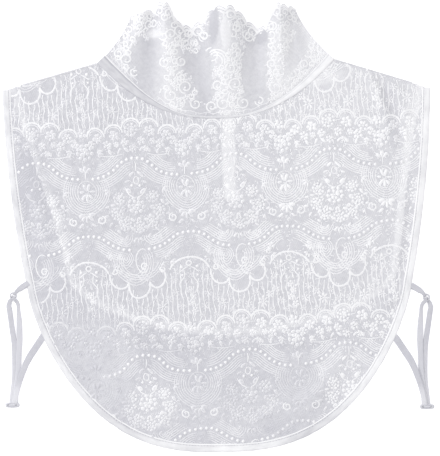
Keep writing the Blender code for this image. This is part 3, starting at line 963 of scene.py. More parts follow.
class Board:
    """The node board of one material, with short ways to add nodes and join them."""

    def __init__(self, name: str) -> None:
        """Starts a material with its Principled shader."""
        self.material = bpy.data.materials.new(name)
        self.material.use_nodes = True
        self.tree = self.material.node_tree
        self.shader = self.tree.nodes["Principled BSDF"]

    def node(self, kind: str, inputs: dict, **settings: object) -> bpy.types.Node:
        """Adds a node.

        Args:
            kind: the node's type, without its first word.
            inputs: a value, or another node's output, for each input by name or number.
            settings: the node's own settings.

        Returns:
            The node.
        """
        made = self.tree.nodes.new("ShaderNode" + kind)
        for name, value in settings.items():
            setattr(made, name, value)
        for name, value in inputs.items():
            self.put(made.inputs[name], value)
        return made

    def put(self, socket: Socket, value: object) -> None:
        """Joins an output to a socket, or sets the socket's own value."""
        if isinstance(value, Socket):
            self.tree.links.new(value, socket)
        else:
            socket.default_value = value

    def map(self) -> Socket:
        """The piece's own map coordinates, in metres."""
        return self.node("UVMap", {}, uv_map=MAP).outputs["UV"]

    def place(self) -> Socket:
        """Object coordinates, in metres."""
        return self.node("TexCoord", {}).outputs["Object"]

    def white(self) -> Socket:
        """How much whiter the piece is at each point, with painted light and painted shade in it."""
        return self.node("Attribute", {}, attribute_name=FULLNESS_AND_PAINTED_LIGHT).outputs["Fac"]

    def noise(self, where: Socket, grain: float, detail: float) -> Socket:
        """Noise from 0 to 1, with a grain in metres."""
        inputs = {"Vector": where, "Scale": 1.0 / grain, "Detail": detail}
        return self.node("TexNoise", inputs).outputs["Fac"]

    def waves(self, where: Socket, pitch: float, turn: float) -> Socket:
        """Even bands from 0 to 1 with a pitch in metres, turned by an angle in the plane.

        A wave texture runs through 20 radians for each unit of its scale.
        """
        turned = self.node("Mapping", {"Vector": where, "Rotation": (0.0, 0.0, turn)})
        inputs = {"Vector": turned.outputs["Vector"], "Scale": 2 * np.pi / (20 * pitch)}
        return self.node("TexWave", inputs, wave_profile="SIN").outputs["Fac"]

    def maths(self, operation: str, first: object, second: object) -> Socket:
        """The result of one sum."""
        return self.node("Math", {0: first, 1: second}, operation=operation).outputs[0]

    def total(self, first: object, *others: object) -> Socket:
        """Several values added up."""
        for other in others:
            first = self.maths("ADD", first, other)
        return first

    def times(self, value: object, share: float) -> Socket:
        """A share of a value."""
        return self.maths("MULTIPLY", value, share)

    def less(self, value: object, other: object, share: float) -> Socket:
        """A value less a share of another."""
        return self.maths("SUBTRACT", value, self.times(other, share))

    def cloudy(self, grain: float, detail: float, *ends: float) -> Socket:
        """Noise over the piece, from two values of it to two others."""
        return self.spread(self.noise(self.place(), grain, detail), *ends)

    def spread(
        self, value: object, low: float, high: float, to_low: float = 0.0, to_high: float = 1.0
    ) -> Socket:
        """A value taken from one range to another, kept inside it."""
        inputs = {0: value, 1: low, 2: high, 3: to_low, 4: to_high}
        return self.node("MapRange", inputs).outputs[0]

    def mixed(self, share: object, first: object, second: object) -> Socket:
        """A colour between two colours."""
        first, second = ((*c, 1.0) if isinstance(c, tuple) else c for c in (first, second))
        return self.node("Mix", {0: share, 6: first, 7: second}, data_type="RGBA").outputs[2]

    def bump(self, height: object, depth: float, strength: float = 1.0) -> None:
        """Sets the shader's normal from a height from 0 to 1, times a depth in metres."""
        inputs = {"Height": height, "Distance": depth, "Strength": strength}
        self.put(self.shader.inputs["Normal"], self.node("Bump", inputs).outputs["Normal"])

    def finish(self, **values: object) -> Material:
        """Sets the shader's sockets, whose names have _ for a space, and gives the material."""
        for name, value in values.items():
            self.put(self.shader.inputs[name.replace("_", " ")], value)
        return self.material


@dataclass(frozen=True)
class NetFinish:
    """Fine net with six-sided holes, whiter where its fullness is higher."""

    name: str
    # The thin colour is painted shade: the white net painted grey for the shadow under it and seen
    # through its holes.
    thin: tuple = (0.595, 0.595, 0.64)
    full: tuple = (0.90, 0.90, 0.92)
    pitch: float = 1.15 * MM
    hole: float = 0.5

    def material(self) -> Material:
        """Three sets of waves at 60 degrees add up to holes, painted a little greyer as shade; noise
        makes them uneven.
        """
        board = Board(self.name)
        period = self.pitch * np.sqrt(3.0) / 2
        where = board.map()
        bands = [board.waves(where, period, np.pi / 3 * k) for k in range(3)]
        threads = board.spread(board.total(*bands), 0.5, 1.25)
        share = board.total(board.white(), board.cloudy(4 * MM, 4.0, 0.35, 0.65, -0.12, 0.12))
        colour = board.mixed(share, self.thin, self.full)
        board.bump(threads, 0.12 * MM, 0.6)
        return board.finish(
            Base_Color=board.mixed(board.spread(threads, 0.0, 1.0, 0.22, 0.0), colour, self.thin),
            Alpha=board.spread(threads, 0.0, 1.0, self.hole, 1.0),
            Roughness=0.85,
            Specular_IOR_Level=0.25,
            Sheen_Weight=0.15,
            Sheen_Roughness=0.6,
        )


@dataclass(frozen=True)
class ThreadFinish:
    """Twisted or satin-stitched thread."""

    name: str
    plain: tuple = (0.66, 0.66, 0.70)
    full: tuple = (0.96, 0.96, 0.97)
    deep: tuple = (0.6, 0.6, 0.64)
    pitch: float = 0.42 * MM
    turn: float = 0.9
    roughness: float = 0.55

    def material(self) -> Material:
        """Slanting waves on the thread's own map are its twist, painted darker in its grooves as shade;
        noise varies its colour.
        """
        board = Board(self.name)
        twist = board.waves(board.map(), self.pitch, self.turn)
        share = board.total(board.white(), board.cloudy(5 * MM, 3.0, 0.3, 0.7, -0.15, 0.2))
        colour = board.mixed(share, self.plain, self.full)
        board.bump(twist, 0.07 * MM, 0.7)
        return board.finish(
            Base_Color=board.mixed(board.spread(twist, 0.0, 1.0, 0.1, 0.0), colour, self.deep),
            Roughness=board.spread(twist, 0.0, 1.0, self.roughness + 0.15, self.roughness),
            Specular_IOR_Level=0.4,
            Sheen_Weight=0.1,
        )


@dataclass(frozen=True)
class SatinFinish:
    """Satin cut on the bias: fine slanting ribs, slubs and soft puckers."""

    name: str
    colour: tuple = (0.95, 0.95, 0.96)
    shade: tuple = (0.5, 0.5, 0.54)
    pitch: float = 0.36 * MM
    turn: float = 0.785

    def material(self) -> Material:
        """Two sets of fine waves for the weave, stretched noise for the puckers."""
        board = Board(self.name)
        where = board.map()
        rib = board.waves(where, self.pitch, self.turn)
        cross = board.waves(where, self.pitch * 1.7, self.turn + np.pi / 2)
        weave = board.total(board.times(cross, 0.4), rib)
        long = board.node("Mapping", {"Vector": where, "Scale": (0.35, 1.0, 1.0)})
        pucker = board.noise(long.outputs["Vector"], 3.2 * MM, 2.0)
        # Puckers vary the satin's tone at random; the piece's attribute brings in the painted light and
        # painted shade of its strip.
        share = board.less(board.spread(pucker, 0.35, 0.68, 0.5, 0.72), board.white(), 0.5)
        board.bump(board.total(board.times(weave, 0.12), pucker), 0.45 * MM, 0.6)
        return board.finish(
            Base_Color=board.mixed(share, self.colour, self.shade),
            Roughness=board.spread(weave, 0.0, 1.4, 0.6, 0.45),
            Specular_IOR_Level=0.35,
            Sheen_Weight=0.05,
        )


@dataclass(frozen=True)
class ElasticFinish:
    """Woven elastic: cords along its length, crossed by fine weft."""

    name: str
    colour: tuple = (0.75, 0.75, 0.795)
    groove: tuple = (0.50, 0.50, 0.55)
    bright: tuple = (0.82, 0.82, 0.86)
    worn: tuple = (0.8, 0.8, 0.83)
    cords: float = 0.82 * MM
    weft: float = 0.45 * MM

    def material(self) -> Material:
        """Waves across the strip are its cords and waves along it the weft; the grooves between the cords
        are painted darker, as shade.
        """
        board = Board(self.name)
        where, white = board.map(), board.white()
        cords = board.waves(where, self.cords, np.pi / 2)
        weave = board.total(board.times(board.waves(where, self.weft, 0.0), 0.35), cords)
        share = board.less(board.spread(weave, 0.0, 1.35, 0.6, 0.0), white, 0.8)
        light = board.mixed(white, board.mixed(share, self.colour, self.groove), self.bright)
        worn = board.cloudy(4 * MM, 3.0, 0.3, 0.75, 0.0, 0.25)
        board.bump(weave, 0.16 * MM, 0.8)
        return board.finish(
            Base_Color=board.mixed(worn, light, self.worn),
            Roughness=0.62,
            Specular_IOR_Level=0.35,
            Sheen_Weight=0.1,
        )


@dataclass(frozen=True)
class MouldedFinish:
    """Milky moulded plastic with faint flow marks."""

    name: str
    colour: tuple = (0.66, 0.66, 0.70)
    deep: tuple = (0.52, 0.52, 0.56)

    def material(self) -> Material:
        """Noise gives the milky colour and a faint unevenness."""
        board = Board(self.name)
        flow = board.noise(board.place(), 1.6 * MM, 4.0)
        board.bump(flow, 0.05 * MM, 0.5)
        return board.finish(
            Base_Color=board.mixed(board.spread(flow, 0.3, 0.75, 0.0, 0.6), self.colour, self.deep),
            Roughness=board.spread(flow, 0.2, 0.8, 0.42, 0.6),
            Coat_Weight=0.08,
            IOR=1.48,
        )


@dataclass
class Motifs:
    """Motifs drawn in a plane, as lines of thread, raised petals and dots.

    Petals and dots are rows of x, y, half length, half width, turn and height, in chart units.
    """

    seed: int
    lines: list[tuple[Thread, bool, Array]] = field(default_factory=list)
    petals: list[Array] = field(default_factory=list)
    dots: list[Array] = field(default_factory=list)

    def __post_init__(self) -> None:
        """Starts the order of random draws."""
        self.chance = np.random.default_rng(self.seed)

    def line(self, thread: Thread, points: Array, closed: bool = False) -> None:
        """Adds one line, or several of as many points."""
        points = np.asarray(points, dtype=float)
        self.lines.append((thread, closed, points.reshape(-1, *points.shape[-2:])))

    def stroke(
        self, thread: Thread, points: tuple, count: int = 8, place: tuple = (0.0, 0.0)
    ) -> None:
        """Adds a smooth line through a few points, moved to a place."""
        self.line(thread, curve_through(points, count) + place)

    def petal(
        self, x: Array, y: Array, long: Array, wide: Array, turn: Array, high: float = 0.45
    ) -> None:
        """Adds petals, each a little different in size."""
        rows = np.stack(np.broadcast_arrays(x, y, long, wide, turn, high), axis=-1).reshape(-1, 6)
        rows = rows.astype(float)
        rows[:, 2:4] *= self.chance.uniform(0.82, 1.16, (len(rows), 2))
        self.petals.append(rows)

    def dot(self, x: Array, y: Array, radius: float, high: float = 0.8) -> None:
        """Adds round raised dots."""
        rows = np.broadcast_arrays(x, y, radius, radius, 0.0, high)
        self.dots.append(np.stack(rows, axis=-1).reshape(-1, 6).astype(float))

    def petals_round(
        self, x: float, y: float, away: Number, long: float, wide: float, turn: Array, high: float
    ) -> None:
        """Adds petals that point away from a middle, each at its distance and angle."""
        self.petal(x + away * np.cos(turn), y + away * np.sin(turn), long, wide, turn, high)

    def turns(self, count: int, most: float = 1.0) -> Array:
        """Even angles once round, from a random start."""
        return self.chance.uniform(0.0, most) + full_turn(count)

    def flower(self, x: float, y: float, reach: float, count: int = 5) -> None:
        """Adds a flower: a round of petals about a raised heart."""
        turn = self.turns(count, 2 * np.pi) + self.chance.uniform(-0.22, 0.22, count)
        away = 0.6 * reach * self.chance.uniform(0.85, 1.15, count)
        wide = min(0.42 * reach, np.pi / count * 0.6 * reach)
        self.petals_round(x, y, away, 0.4 * reach, wide, turn, 0.5)
        self.dot(x, y, 0.17 * reach + 0.25, 0.65)

    def mum(self, x: float, y: float, reach: float) -> None:
        """Adds a full round flower of two rounds of petals."""
        self.flower(x, y, 0.62 * reach, 6)
        self.petals_round(x, y, 0.8 * reach, 0.21 * reach, 0.25 * reach, self.turns(9), 0.5)

    def star(self, x: float, y: float, reach: float, rays: int = 7) -> None:
        """Adds a star flower of slim rays."""
        self.petals_round(x, y, 0.58 * reach, 0.42 * reach, 0.16 * reach, self.turns(rays), 0.4)
        self.dot(x, y, 0.16 * reach, 0.7)

    def sprig(self, x: float, y: float, size: float, turn: float, leaves: int = 3) -> None:
        """Adds a fan of leaves that open from a point towards an angle."""
        turns = turn + 0.75 * (np.arange(leaves) - (leaves - 1) / 2)
        self.petals_round(x, y, 0.62 * size, 0.46 * size, 0.22 * size, turns, 0.65)

    def scroll(self, x: float, y: float, radius: float, turn: float, hand: float = 1.0) -> None:
        """Adds a scroll: a line that runs nearly round a ring and hooks in to a dot.

        Its radius is whole for half its way and then eases to a third.
        """
        gone = np.linspace(0.0, 1.0, 15)
        reach = radius * (1.0 - 0.62 * eased((gone - 0.5) / 0.5))
        self.line(Thread.CURL, arc(turn + hand * gone * 2.3 * np.pi, reach, reach) + (x, y))
        self.dot(x, y, 0.2 * radius, 0.7)

    def ring(self, thread: Thread, place: tuple, across: float, up: float, count: int) -> None:
        """Adds an oval line."""
        self.line(thread, arc(full_turn(count), across, up) + place, closed=True)

    def shell(
        self, x: float, y: float, reaches: Array, open_turn: float, point: float, flat: float = 1.0
    ) -> None:
        """Adds nested lines, open at the top and pointed at the bottom.

        Each is a circle's arc whose depth grows by a share towards its lowest point, and which
        may be flattened.
        """
        turn = np.linspace(-open_turn, np.pi + open_turn, 19)
        depth = flat * np.sin(turn) * (1.0 + point * np.clip(np.sin(turn), 0.0, 1.0) ** 8)
        nested = np.stack([np.cos(turn), depth], axis=1) * np.asarray(reaches)[:, None, None]
        self.line(Thread.FINE, nested + np.array([x, y]))


# Plain places of the repeat, mirrored: x, y and reach in chart units
PLAIN_PLACES = (
    (0, 131, 7.5), (19, 123.5, 6.5), (42, 96.5, 5.0), (16, 24, 6.0), (0, 165.5, 4.0), (18, 167, 4.5),
    (35, 172, 4.5), (33, 70, 5.0), (47, 77, 4.0),
)


@dataclass(frozen=True)
class LaceRepeat:
    """One repeat of the bibs' lace, charted.

    Chart units are 0.9 mm: x across from the middle, y down from the first wave's crest. A
    wave's rows are out from its crest and down.
    """

    unit: float = 0.9 * MM
    wide: float = 100.0
    deep: float = 196.0
    half: float = 50.0
    first_wave: tuple = (
        (0, 1.5), (5, 2), (10, 3.4), (14, 6.1), (17, 9), (20.5, 12.5), (24, 15), (28.5, 17.2),
        (34, 18.9), (42, 19.8), (50, 20),
    )
    second_wave: tuple = (
        (0, 77), (8, 77.5), (13, 79), (17, 81.5), (21.5, 84.8), (26, 87.9), (31, 90.5),
        (36.5, 92), (50, 93.5),
    )
    dot_pitch: float = 5.3
    dot_radius: float = 1.75
    line_start: float = 3.6
    line_pitch: float = 2.0
    line_count: int = 5
    seed_step: float = 4.3

    def wave(self, rows: tuple) -> Array:
        """A wave's line from side to side, mirrored about its crest."""
        right = np.array(rows, dtype=float)
        return curve_through(np.concatenate([(right * (-1.0, 1.0))[:0:-1], right]), 301)

    def dotted_wave(self, motifs: Motifs, rows: tuple, crest: float, reach: float) -> None:
        """A row of dots along a wave, with thin lines beside both its flanks.

        The lines are the wave's own line moved sideways by even steps, each shorter than the
        one before.
        """
        path = self.wave(rows)
        row = path[np.abs(path[:, 0]) < reach]
        row = evenly(row, int(length_of(row) / self.dot_pitch) + 1)
        motifs.dot(row[:, 0] + crest, row[:, 1], self.dot_radius)
        aside = left_of(path)
        for side, near, far in ((1.0, 5.0, 38.0), (-1.0, 11.0, 41.0)):
            for number in range(self.line_count):
                moved = path + aside * side * (self.line_start + self.line_pitch * number)
                part = (path[:, 0] > near + 0.9 * number) & (path[:, 0] < far - 1.3 * number)
                flank = evenly(moved[part], 9)
                for mirror in (1.0, -1.0):
                    motifs.line(Thread.FINE, flank * (mirror, 1.0) + (crest, 0.0))

    def crown(self, motifs: Motifs) -> None:
        """The sprigs and the wreath of flowers under the first wave's crest."""
        motifs.stroke(Thread.STEM, ((0, 5), (0.6, 9), (0, 14)), 5)
        motifs.ring(Thread.STEM, (0.3, 23.0), 2.6, 3.6, 9)
        for side in BOTH:
            motifs.petal(side * 4.4, 17.0, 4.4, 1.5, np.pi / 2 - side * 0.8)
            motifs.petal(side * 8.6, 24.5, 3.0, 1.2, side * 0.4)
            motifs.dot(side * 4.0, 28.2, 1.5)
            motifs.petal(side * 7.0, 33.5, 3.8, 1.9, np.pi / 2 + side * 0.7)
            motifs.stroke(Thread.STEM, ((side * 11, 30), (side * 7, 37), (side * 1.5, 40)), 6)
            motifs.sprig(side * 26.0, 33.0, 5.5, np.pi / 2 - side * 1.0)
        motifs.mum(-0.5, 48.0, 9.0)
        wreath = (
            (-17, 41), (16.5, 40), (-20.3, 55.5), (22.5, 54), (-12.5, 66.5), (14.5, 65.5), (1.5, 70.5),
        )
        for x, y in wreath:
            motifs.mum(x, y, 6.4)
        for x, y, turn in ((-11, 49, 2.6), (13, 49, 0.5), (-9, 57, 2.0), (11.5, 57, 1.1), (1, 59.5, 1.6)):
            motifs.sprig(x, y, 5.0, turn, 2)
        x, y = np.array(
            ((-24, 47), (26, 46), (-18, 63), (20.5, 62), (-5.5, 71), (8.5, 71), (-6, 62), (8.5, 63))
        ).T
        motifs.petal(x, y, 2.8, 1.5, 0.4 * x)
        for out, y in ((11, 79), (19, 73), (27, 66), (31, 58), (30, 49)):
            motifs.petal(np.array([-out, out]), y, 2.6, 1.2, 0.2 * out)

    def onion(self, motifs: Motifs) -> None:
        """The shell between two crests: a sprig in an oval in pointed lines, on a fan of leaves."""
        middle = self.half
        motifs.ring(Thread.FINE, (middle, 32.5), 9.5, 11.0, 22)
        motifs.shell(middle, 32.0, np.arange(6) * 2.2 + 12.2, 0.6, 0.1)
        motifs.stroke(Thread.STEM, ((0, 8), (0.4, 14), (0, 20)), 5, (middle, 0.0))
        for y, turn, leaves in ((14.5, -1, 3), (34, 1, 3), (33, -1, 2), (55.5, 1, 5)):
            motifs.sprig(middle, y, 8.0, turn * np.pi / 2, leaves)
        for side in BOTH:
            motifs.petal(middle + side * 5.4, 32.5, 2.8, 1.3, 0.0)
            motifs.scroll(middle + side * 14, 61.5, 3.6, -np.pi / 2, side)
            motifs.petal(middle + side * 6, 66, 3.0, 1.4, side * 0.7)

    def volutes(self, motifs: Motifs) -> None:
        """The pair of shells over the second wave's trough, and the leaves between them."""
        for x in (-14.0, 13.5):
            motifs.shell(x, 79.0, (2.2, 4.2, 6.3, 8.4), 0.1, 0.1)
        motifs.sprig(0, 79.5, 6.5, np.pi / 2, 3)

    def great_shell(self, motifs: Motifs) -> None:
        """The large shell under the second wave's trough: two unlike curls in pointed lines."""
        motifs.shell(-6.0, 105.0, np.arange(5) * 2.25 + 11.0, 0.6, 0.14)
        motifs.shell(-2.0, 100.0, np.arange(3) * 2.3 + 22.2, -0.2, 0.0, 0.82)
        motifs.shell(-14.0, 101.0, (1.6, 3.6, 5.6, 7.6), 1.0, 0.3)
        motifs.line(Thread.STEM, (arc(full_turn(24), 6.8, 11.5) + (3.0, 103.5))[2:21])
        motifs.scroll(4.5, 109.0, 3.0, 0.0, -1.0)
        for side in BOTH:
            for x, y in ((26, 98), (31, 104), (22, 106.5)):
                motifs.sprig(side * x, y, 5.2, np.pi / 2 - side * 0.9, 3)
            motifs.flower(side * 30.0, 96.0, 4.0)

    def festoon(self, motifs: Motifs) -> None:
        """The arch between two shells and the three hanging lobes under each shell."""
        arch = (
            (-18.5, 114), (-16, 109.5), (-11.5, 105.5), (-6, 103), (0, 102.3), (6, 103),
            (12, 105.5), (17, 109.5), (20, 114.5),
        )
        motifs.stroke(Thread.OUTLINE, arch, 22, (self.half - 2.0, 0.0))
        lobes = (
            ((-31, 115), (-30, 122), (-26, 128), (-20.5, 130.2), (-15.5, 129), (-12.6, 124.5)),
            (
                (-12.6, 124.5), (-12.4, 132), (-8.8, 138), (-3, 140), (3, 138), (7.4, 132),
                (8.2, 123.5),
            ),
            ((8.2, 123.5), (10, 128), (15, 130.2), (20.5, 128), (24.3, 122), (24, 115.5), (20, 112)),
        )
        for lobe in lobes:
            motifs.stroke(Thread.OUTLINE, lobe, 14)
        for side in BOTH:
            motifs.scroll(side * 24.0 - 2.0, 113.0, 2.6, np.pi, side)
            motifs.sprig(side * 10.2 - 2.2, 121.0, 3.6, np.pi / 2, 3)

    def lantern(self, motifs: Motifs) -> None:
        """The pendant under each arch, and the column of small flowers under it."""
        middle = self.half - 2.0
        motifs.ring(Thread.CURL, (middle, 108.4), 2.5, 2.4, 10)
        motifs.dot(middle + np.array([-7.4, 7.8]), 112.0, 1.7)
        motifs.dot(middle + np.array([-6.6, 8.4]), 120.5, 1.3)
        motifs.star(middle + 1.6, 119.3, 4.0, 5)
        for side in BOTH:
            shoulder = ((side * 1.5, 112), (side * 4.5, 113.5), (side * 9.5, 117.5))
            skirt = ((side * 5.0, 115), (side * 4.6, 122), (side * 9.2, 128.5), (side * 8.6, 134))
            for points, count in ((shoulder, 6), (skirt, 10)):
                motifs.stroke(Thread.STEM, points, count, (middle, 0.0))
            motifs.petal(middle + side * 3.0, 127.0, 3.0, 1.0, np.pi / 2 - side * 0.3)
        for y, lean in ((135.0, -1.6), (141.5, 1.6), (148.0, -1.6), (155.0, 1.6)):
            motifs.flower(middle + 2 + lean, y, 3.7)
            motifs.petal(middle + 2 - 2.6 * lean, y + 2.0, 2.3, 1.0, 0.5 * lean)
        motifs.flower(middle, 171.0, 5.0)

    def ribs(self, motifs: Motifs) -> None:
        """Thin upright lines, a little wavy, from the festoons to the lower scallops."""
        out = (0, 9, 12, 19, 28, 34, 40, 45, 50)
        start = (141.5, 132, 131, 133, 120, 113, 109, 130, 132)
        end = (159, 162, 165, 162, 168, 166, 168, 167, 166)
        x = np.arange(-48.5, 50.0, 4.9)[:, None]
        top, foot = np.interp(np.abs(x), out, start), np.interp(np.abs(x), out, end)
        y = top + (foot - top) * np.linspace(0.0, 1.0, 9)
        phase = motifs.chance.uniform(0.0, 6.0, len(x))[:, None]
        wavy = x + 0.8 * np.sin(0.33 * y + phase) + 0.3 * np.sin(0.9 * y + 2 * phase)
        motifs.line(Thread.RIB, np.stack([wavy, y], axis=-1))
        stars = (
            (20.0, 150.5, 6.0, 7), (33.0, 124.5, 4.4, 7), (33.5, 138.0, 4.4, 7), (5.5, 152.0, 4.2, 7),
            (41.5, 160.0, 3.6, 6), (12.5, 142.0, 3.8, 6), (26.5, 143.5, 4.4, 7), (27.0, 161.0, 4.0, 7),
            (10.0, 158.5, 3.8, 7), (38.0, 150.5, 4.4, 7), (37.0, 116.0, 3.4, 6),
        )
        for side in BOTH:
            for out, y, reach, rays in stars:
                motifs.star(side * out, y, reach, rays)

    def scallops(self, motifs: Motifs) -> None:
        """The lower arches, and the flowers and leaves under them."""
        half_turn = np.linspace(np.pi, 2 * np.pi, 11)
        for x, y in ((-38, 166.5), (-19, 163), (-1.5, 158), (16, 159), (34, 166)):
            for inset, thread in ((0.0, Thread.OUTLINE), (2.2, Thread.FINE)):
                motifs.line(thread, arc(half_turn, 9.0 - inset, 8.6 - inset) + (x, y + 8.6))
        motifs.mum(-1.5, 169.5, 7.0)
        blooms = (
            (-19, 173.5, 5.8), (16.5, 171.5, 5.8), (-36, 176.5, 5.2), (33, 175.5, 5.2),
            (-9, 181.5, 4.6), (8, 181, 4.6), (27, 183.5, 5.0), (-27, 183.5, 5.0), (-1, 188, 4.2),
            (41, 182, 4.4), (-43, 182.5, 4.4), (20, 181, 3.6), (-18, 183, 3.6), (13, 189, 3.6),
        )
        for x, y, reach in blooms:
            motifs.flower(x, y, reach, 6)
        motifs.mum(self.half, 189.5, 8.5)
        out, y, turn = np.array(
            ((36, 189, 0.6), (25, 190.5, 1.9), (15.5, 189.5, 1.0), (8, 189, 2.4), (61, 178, 0.2))
        ).T
        for side in BOTH:
            motifs.petal(side * out, y, 3.2, 1.5, side * turn)
            motifs.sprig(self.half + side * 13, 190, 5.0, np.pi / 2 - side * 1.1, 3)
            motifs.stroke(Thread.FINE, ((side * 12, 193), (side * 24, 195), (side * 38, 193)), 8)

    def ground_seeds(self, motifs: Motifs) -> None:
        """Short stitches strewn over the ground, but not by the dotted waves or in plain places.

        They start as a square grid, each moved and turned at random.
        """
        step = self.seed_step
        down, across = np.mgrid[2 : self.deep : step, -self.half : self.half : step]
        spots = np.stack([across.ravel(), down.ravel()], axis=1)
        spots = spots + motifs.chance.uniform(-0.45, 0.45, spots.shape) * step
        kept = np.ones(len(spots), bool)
        for rows, crest in ((self.first_wave, 0.0), (self.second_wave, self.half)):
            path = self.wave(rows)[::5] + (crest, 0.0)
            path = np.concatenate([path, path - (self.wide, 0.0)])
            kept &= np.linalg.norm(spots[:, None] - path, axis=2).min(1) > 3.4
        for x, y, reach in PLAIN_PLACES:
            for side in BOTH:
                kept &= np.hypot(spots[:, 0] - side * x, spots[:, 1] - y) > reach
        among_ribs = (spots[:, 1] > 128) & (spots[:, 1] < 166)
        kept &= ~among_ribs | (motifs.chance.uniform(0.0, 1.0, len(spots)) < 0.45)
        spots = spots[kept]
        turn = motifs.chance.uniform(0.0, np.pi, len(spots))
        half = motifs.chance.uniform(0.9, 1.7, len(spots))
        reach = arc(turn, half, half)
        motifs.line(Thread.SEED, np.stack([spots - reach, spots + reach], axis=1))

    def chart(self, seed: int) -> Motifs:
        """Draws the whole repeat.

        Args:
            seed: starts the order of random draws.

        Returns:
            The motifs in chart units.
        """
        motifs = Motifs(seed)
        self.dotted_wave(motifs, self.first_wave, 0.0, 42.5)
        self.dotted_wave(motifs, self.second_wave, self.half, 40.5)
        for part in (
            self.crown, self.onion, self.volutes, self.great_shell,
            self.festoon, self.lantern, self.ribs, self.scallops, self.ground_seeds,
        ):
            part(motifs)
        return motifs


@dataclass(frozen=True)
class Laying:
    """How the repeat lies on a bib: its place, slight lean and stretch, and its copies."""

    origin: tuple = (-74.8 * MM, 65.2 * MM)
    across: tuple = (0.989, 0.0317)
    down: tuple = (0.040, -1.008)
    fan: tuple = (0.128, 0.095)
    columns: tuple = (-2, 4)
    rows: tuple = (-1, 2)
    wander: float = 0.45 * MM
    repeat: LaceRepeat = LaceRepeat()

    def starts(self) -> Array:
        """Where each copy of the repeat starts, in chart units."""
        grid = np.meshgrid(np.arange(*self.columns), np.arange(*self.rows))
        return np.stack(grid, axis=-1).reshape(-1, 2) * (self.repeat.wide, self.repeat.deep)

    def place(self, chart: Array) -> Array:
        """Takes chart points to the garment: a lean and a stretch, then a slow unevenness."""
        s, t = chart[..., 0] * self.repeat.unit, chart[..., 1] * self.repeat.unit
        x, y = (
            self.origin[k] + self.across[k] * s + self.down[k] * t + self.fan[k] * s * t for k in (0, 1)
        )
        aside = self.wander * (np.sin(71 * x + 120 * y) + 0.6 * np.sin(190 * y - 60 * x + 1.0))
        along = self.wander * (np.sin(110 * x - 64 * y + 2.0) + 0.6 * np.sin(170 * x + 90 * y))
        return np.stack([x + aside, y + along], axis=-1)


@dataclass
class Embroidery:
    """Raised threads, petals and dots of a chart on a ground, as three joined meshes."""

    name: str
    ground: Ground
    thread: Material
    bloom: Material
    petal_scale: float = 1.0

    def spread(self, motifs: Motifs, starts: Array, place: Plan) -> list[Piece]:
        """Lays every copy of the motifs on the ground.

        Args:
            motifs: what is drawn.
            starts: where each copy starts in the chart.
            place: takes chart points to the plane.

        Returns:
            The pieces: lines, and petals and dots if there are any.
        """
        moulds = {"lines": Mould(), "petals": Mould(), "dots": Mould()}
        for thread, closed, drawn in motifs.lines:
            plan = place((starts[:, None, None] + drawn).reshape(-1, *drawn.shape[1:]))
            kept = self.ground.covers(plan)
            some = kept.any(axis=1)
            if some.any():
                plan = plan[some]
                points, out = self.ground.lifted(plan)
                white = thread.white + self.ground.fullness_and_painted_light(plan)
                moulds["lines"].ridges(points, out, thread, white, kept[some], closed)
        domes = (("petals", motifs.petals, PETAL_WHITE), ("dots", motifs.dots, DOT_WHITE))
        for kind, rows, white in domes:
            if rows:
                self.raise_domes(moulds[kind], np.concatenate(rows), starts, place, white)
        return [
            mould.piece(f"{self.name}_{kind}", self.thread if kind == "lines" else self.bloom, Slot.LACE)
            for kind, mould in moulds.items()
            if mould.total
        ]

    def raise_domes(
        self, mould: Mould, rows: Array, starts: Array, place: Plan, white: tuple[float, float]
    ) -> None:
        """Adds every copy of petals or dots to a mould, turned as the chart lies there.

        Args:
            mould: takes the petals.
            rows: petals as the motifs give them.
            starts: where each copy starts in the chart.
            place: takes chart points to the plane.
            white: how white they are, and how much greyer their hearts are.
        """
        centre = (starts[:, None] + rows[:, :2]).reshape(-1, 2)
        rest = np.tile(rows[:, 2:], (len(starts), 1))
        plan = place(centre)
        kept = self.ground.covers(plan)
        ahead = place((centre + 0.5 * arc(rest[:, 2]))[kept])
        plan, rest = plan[kept], rest[kept]
        points, out = self.ground.lifted(plan)
        toward = raised(ahead - plan, 0.0)
        along = unit(toward - (toward * out).sum(1, keepdims=True) * out)
        scale = self.petal_scale
        sizes = rest[:, (0, 1, 3)] * (scale * MM, scale * MM, MM / scale)
        mould.domes(points, out, along, sizes, white[0] + self.ground.fullness_and_painted_light(plan), white[1])


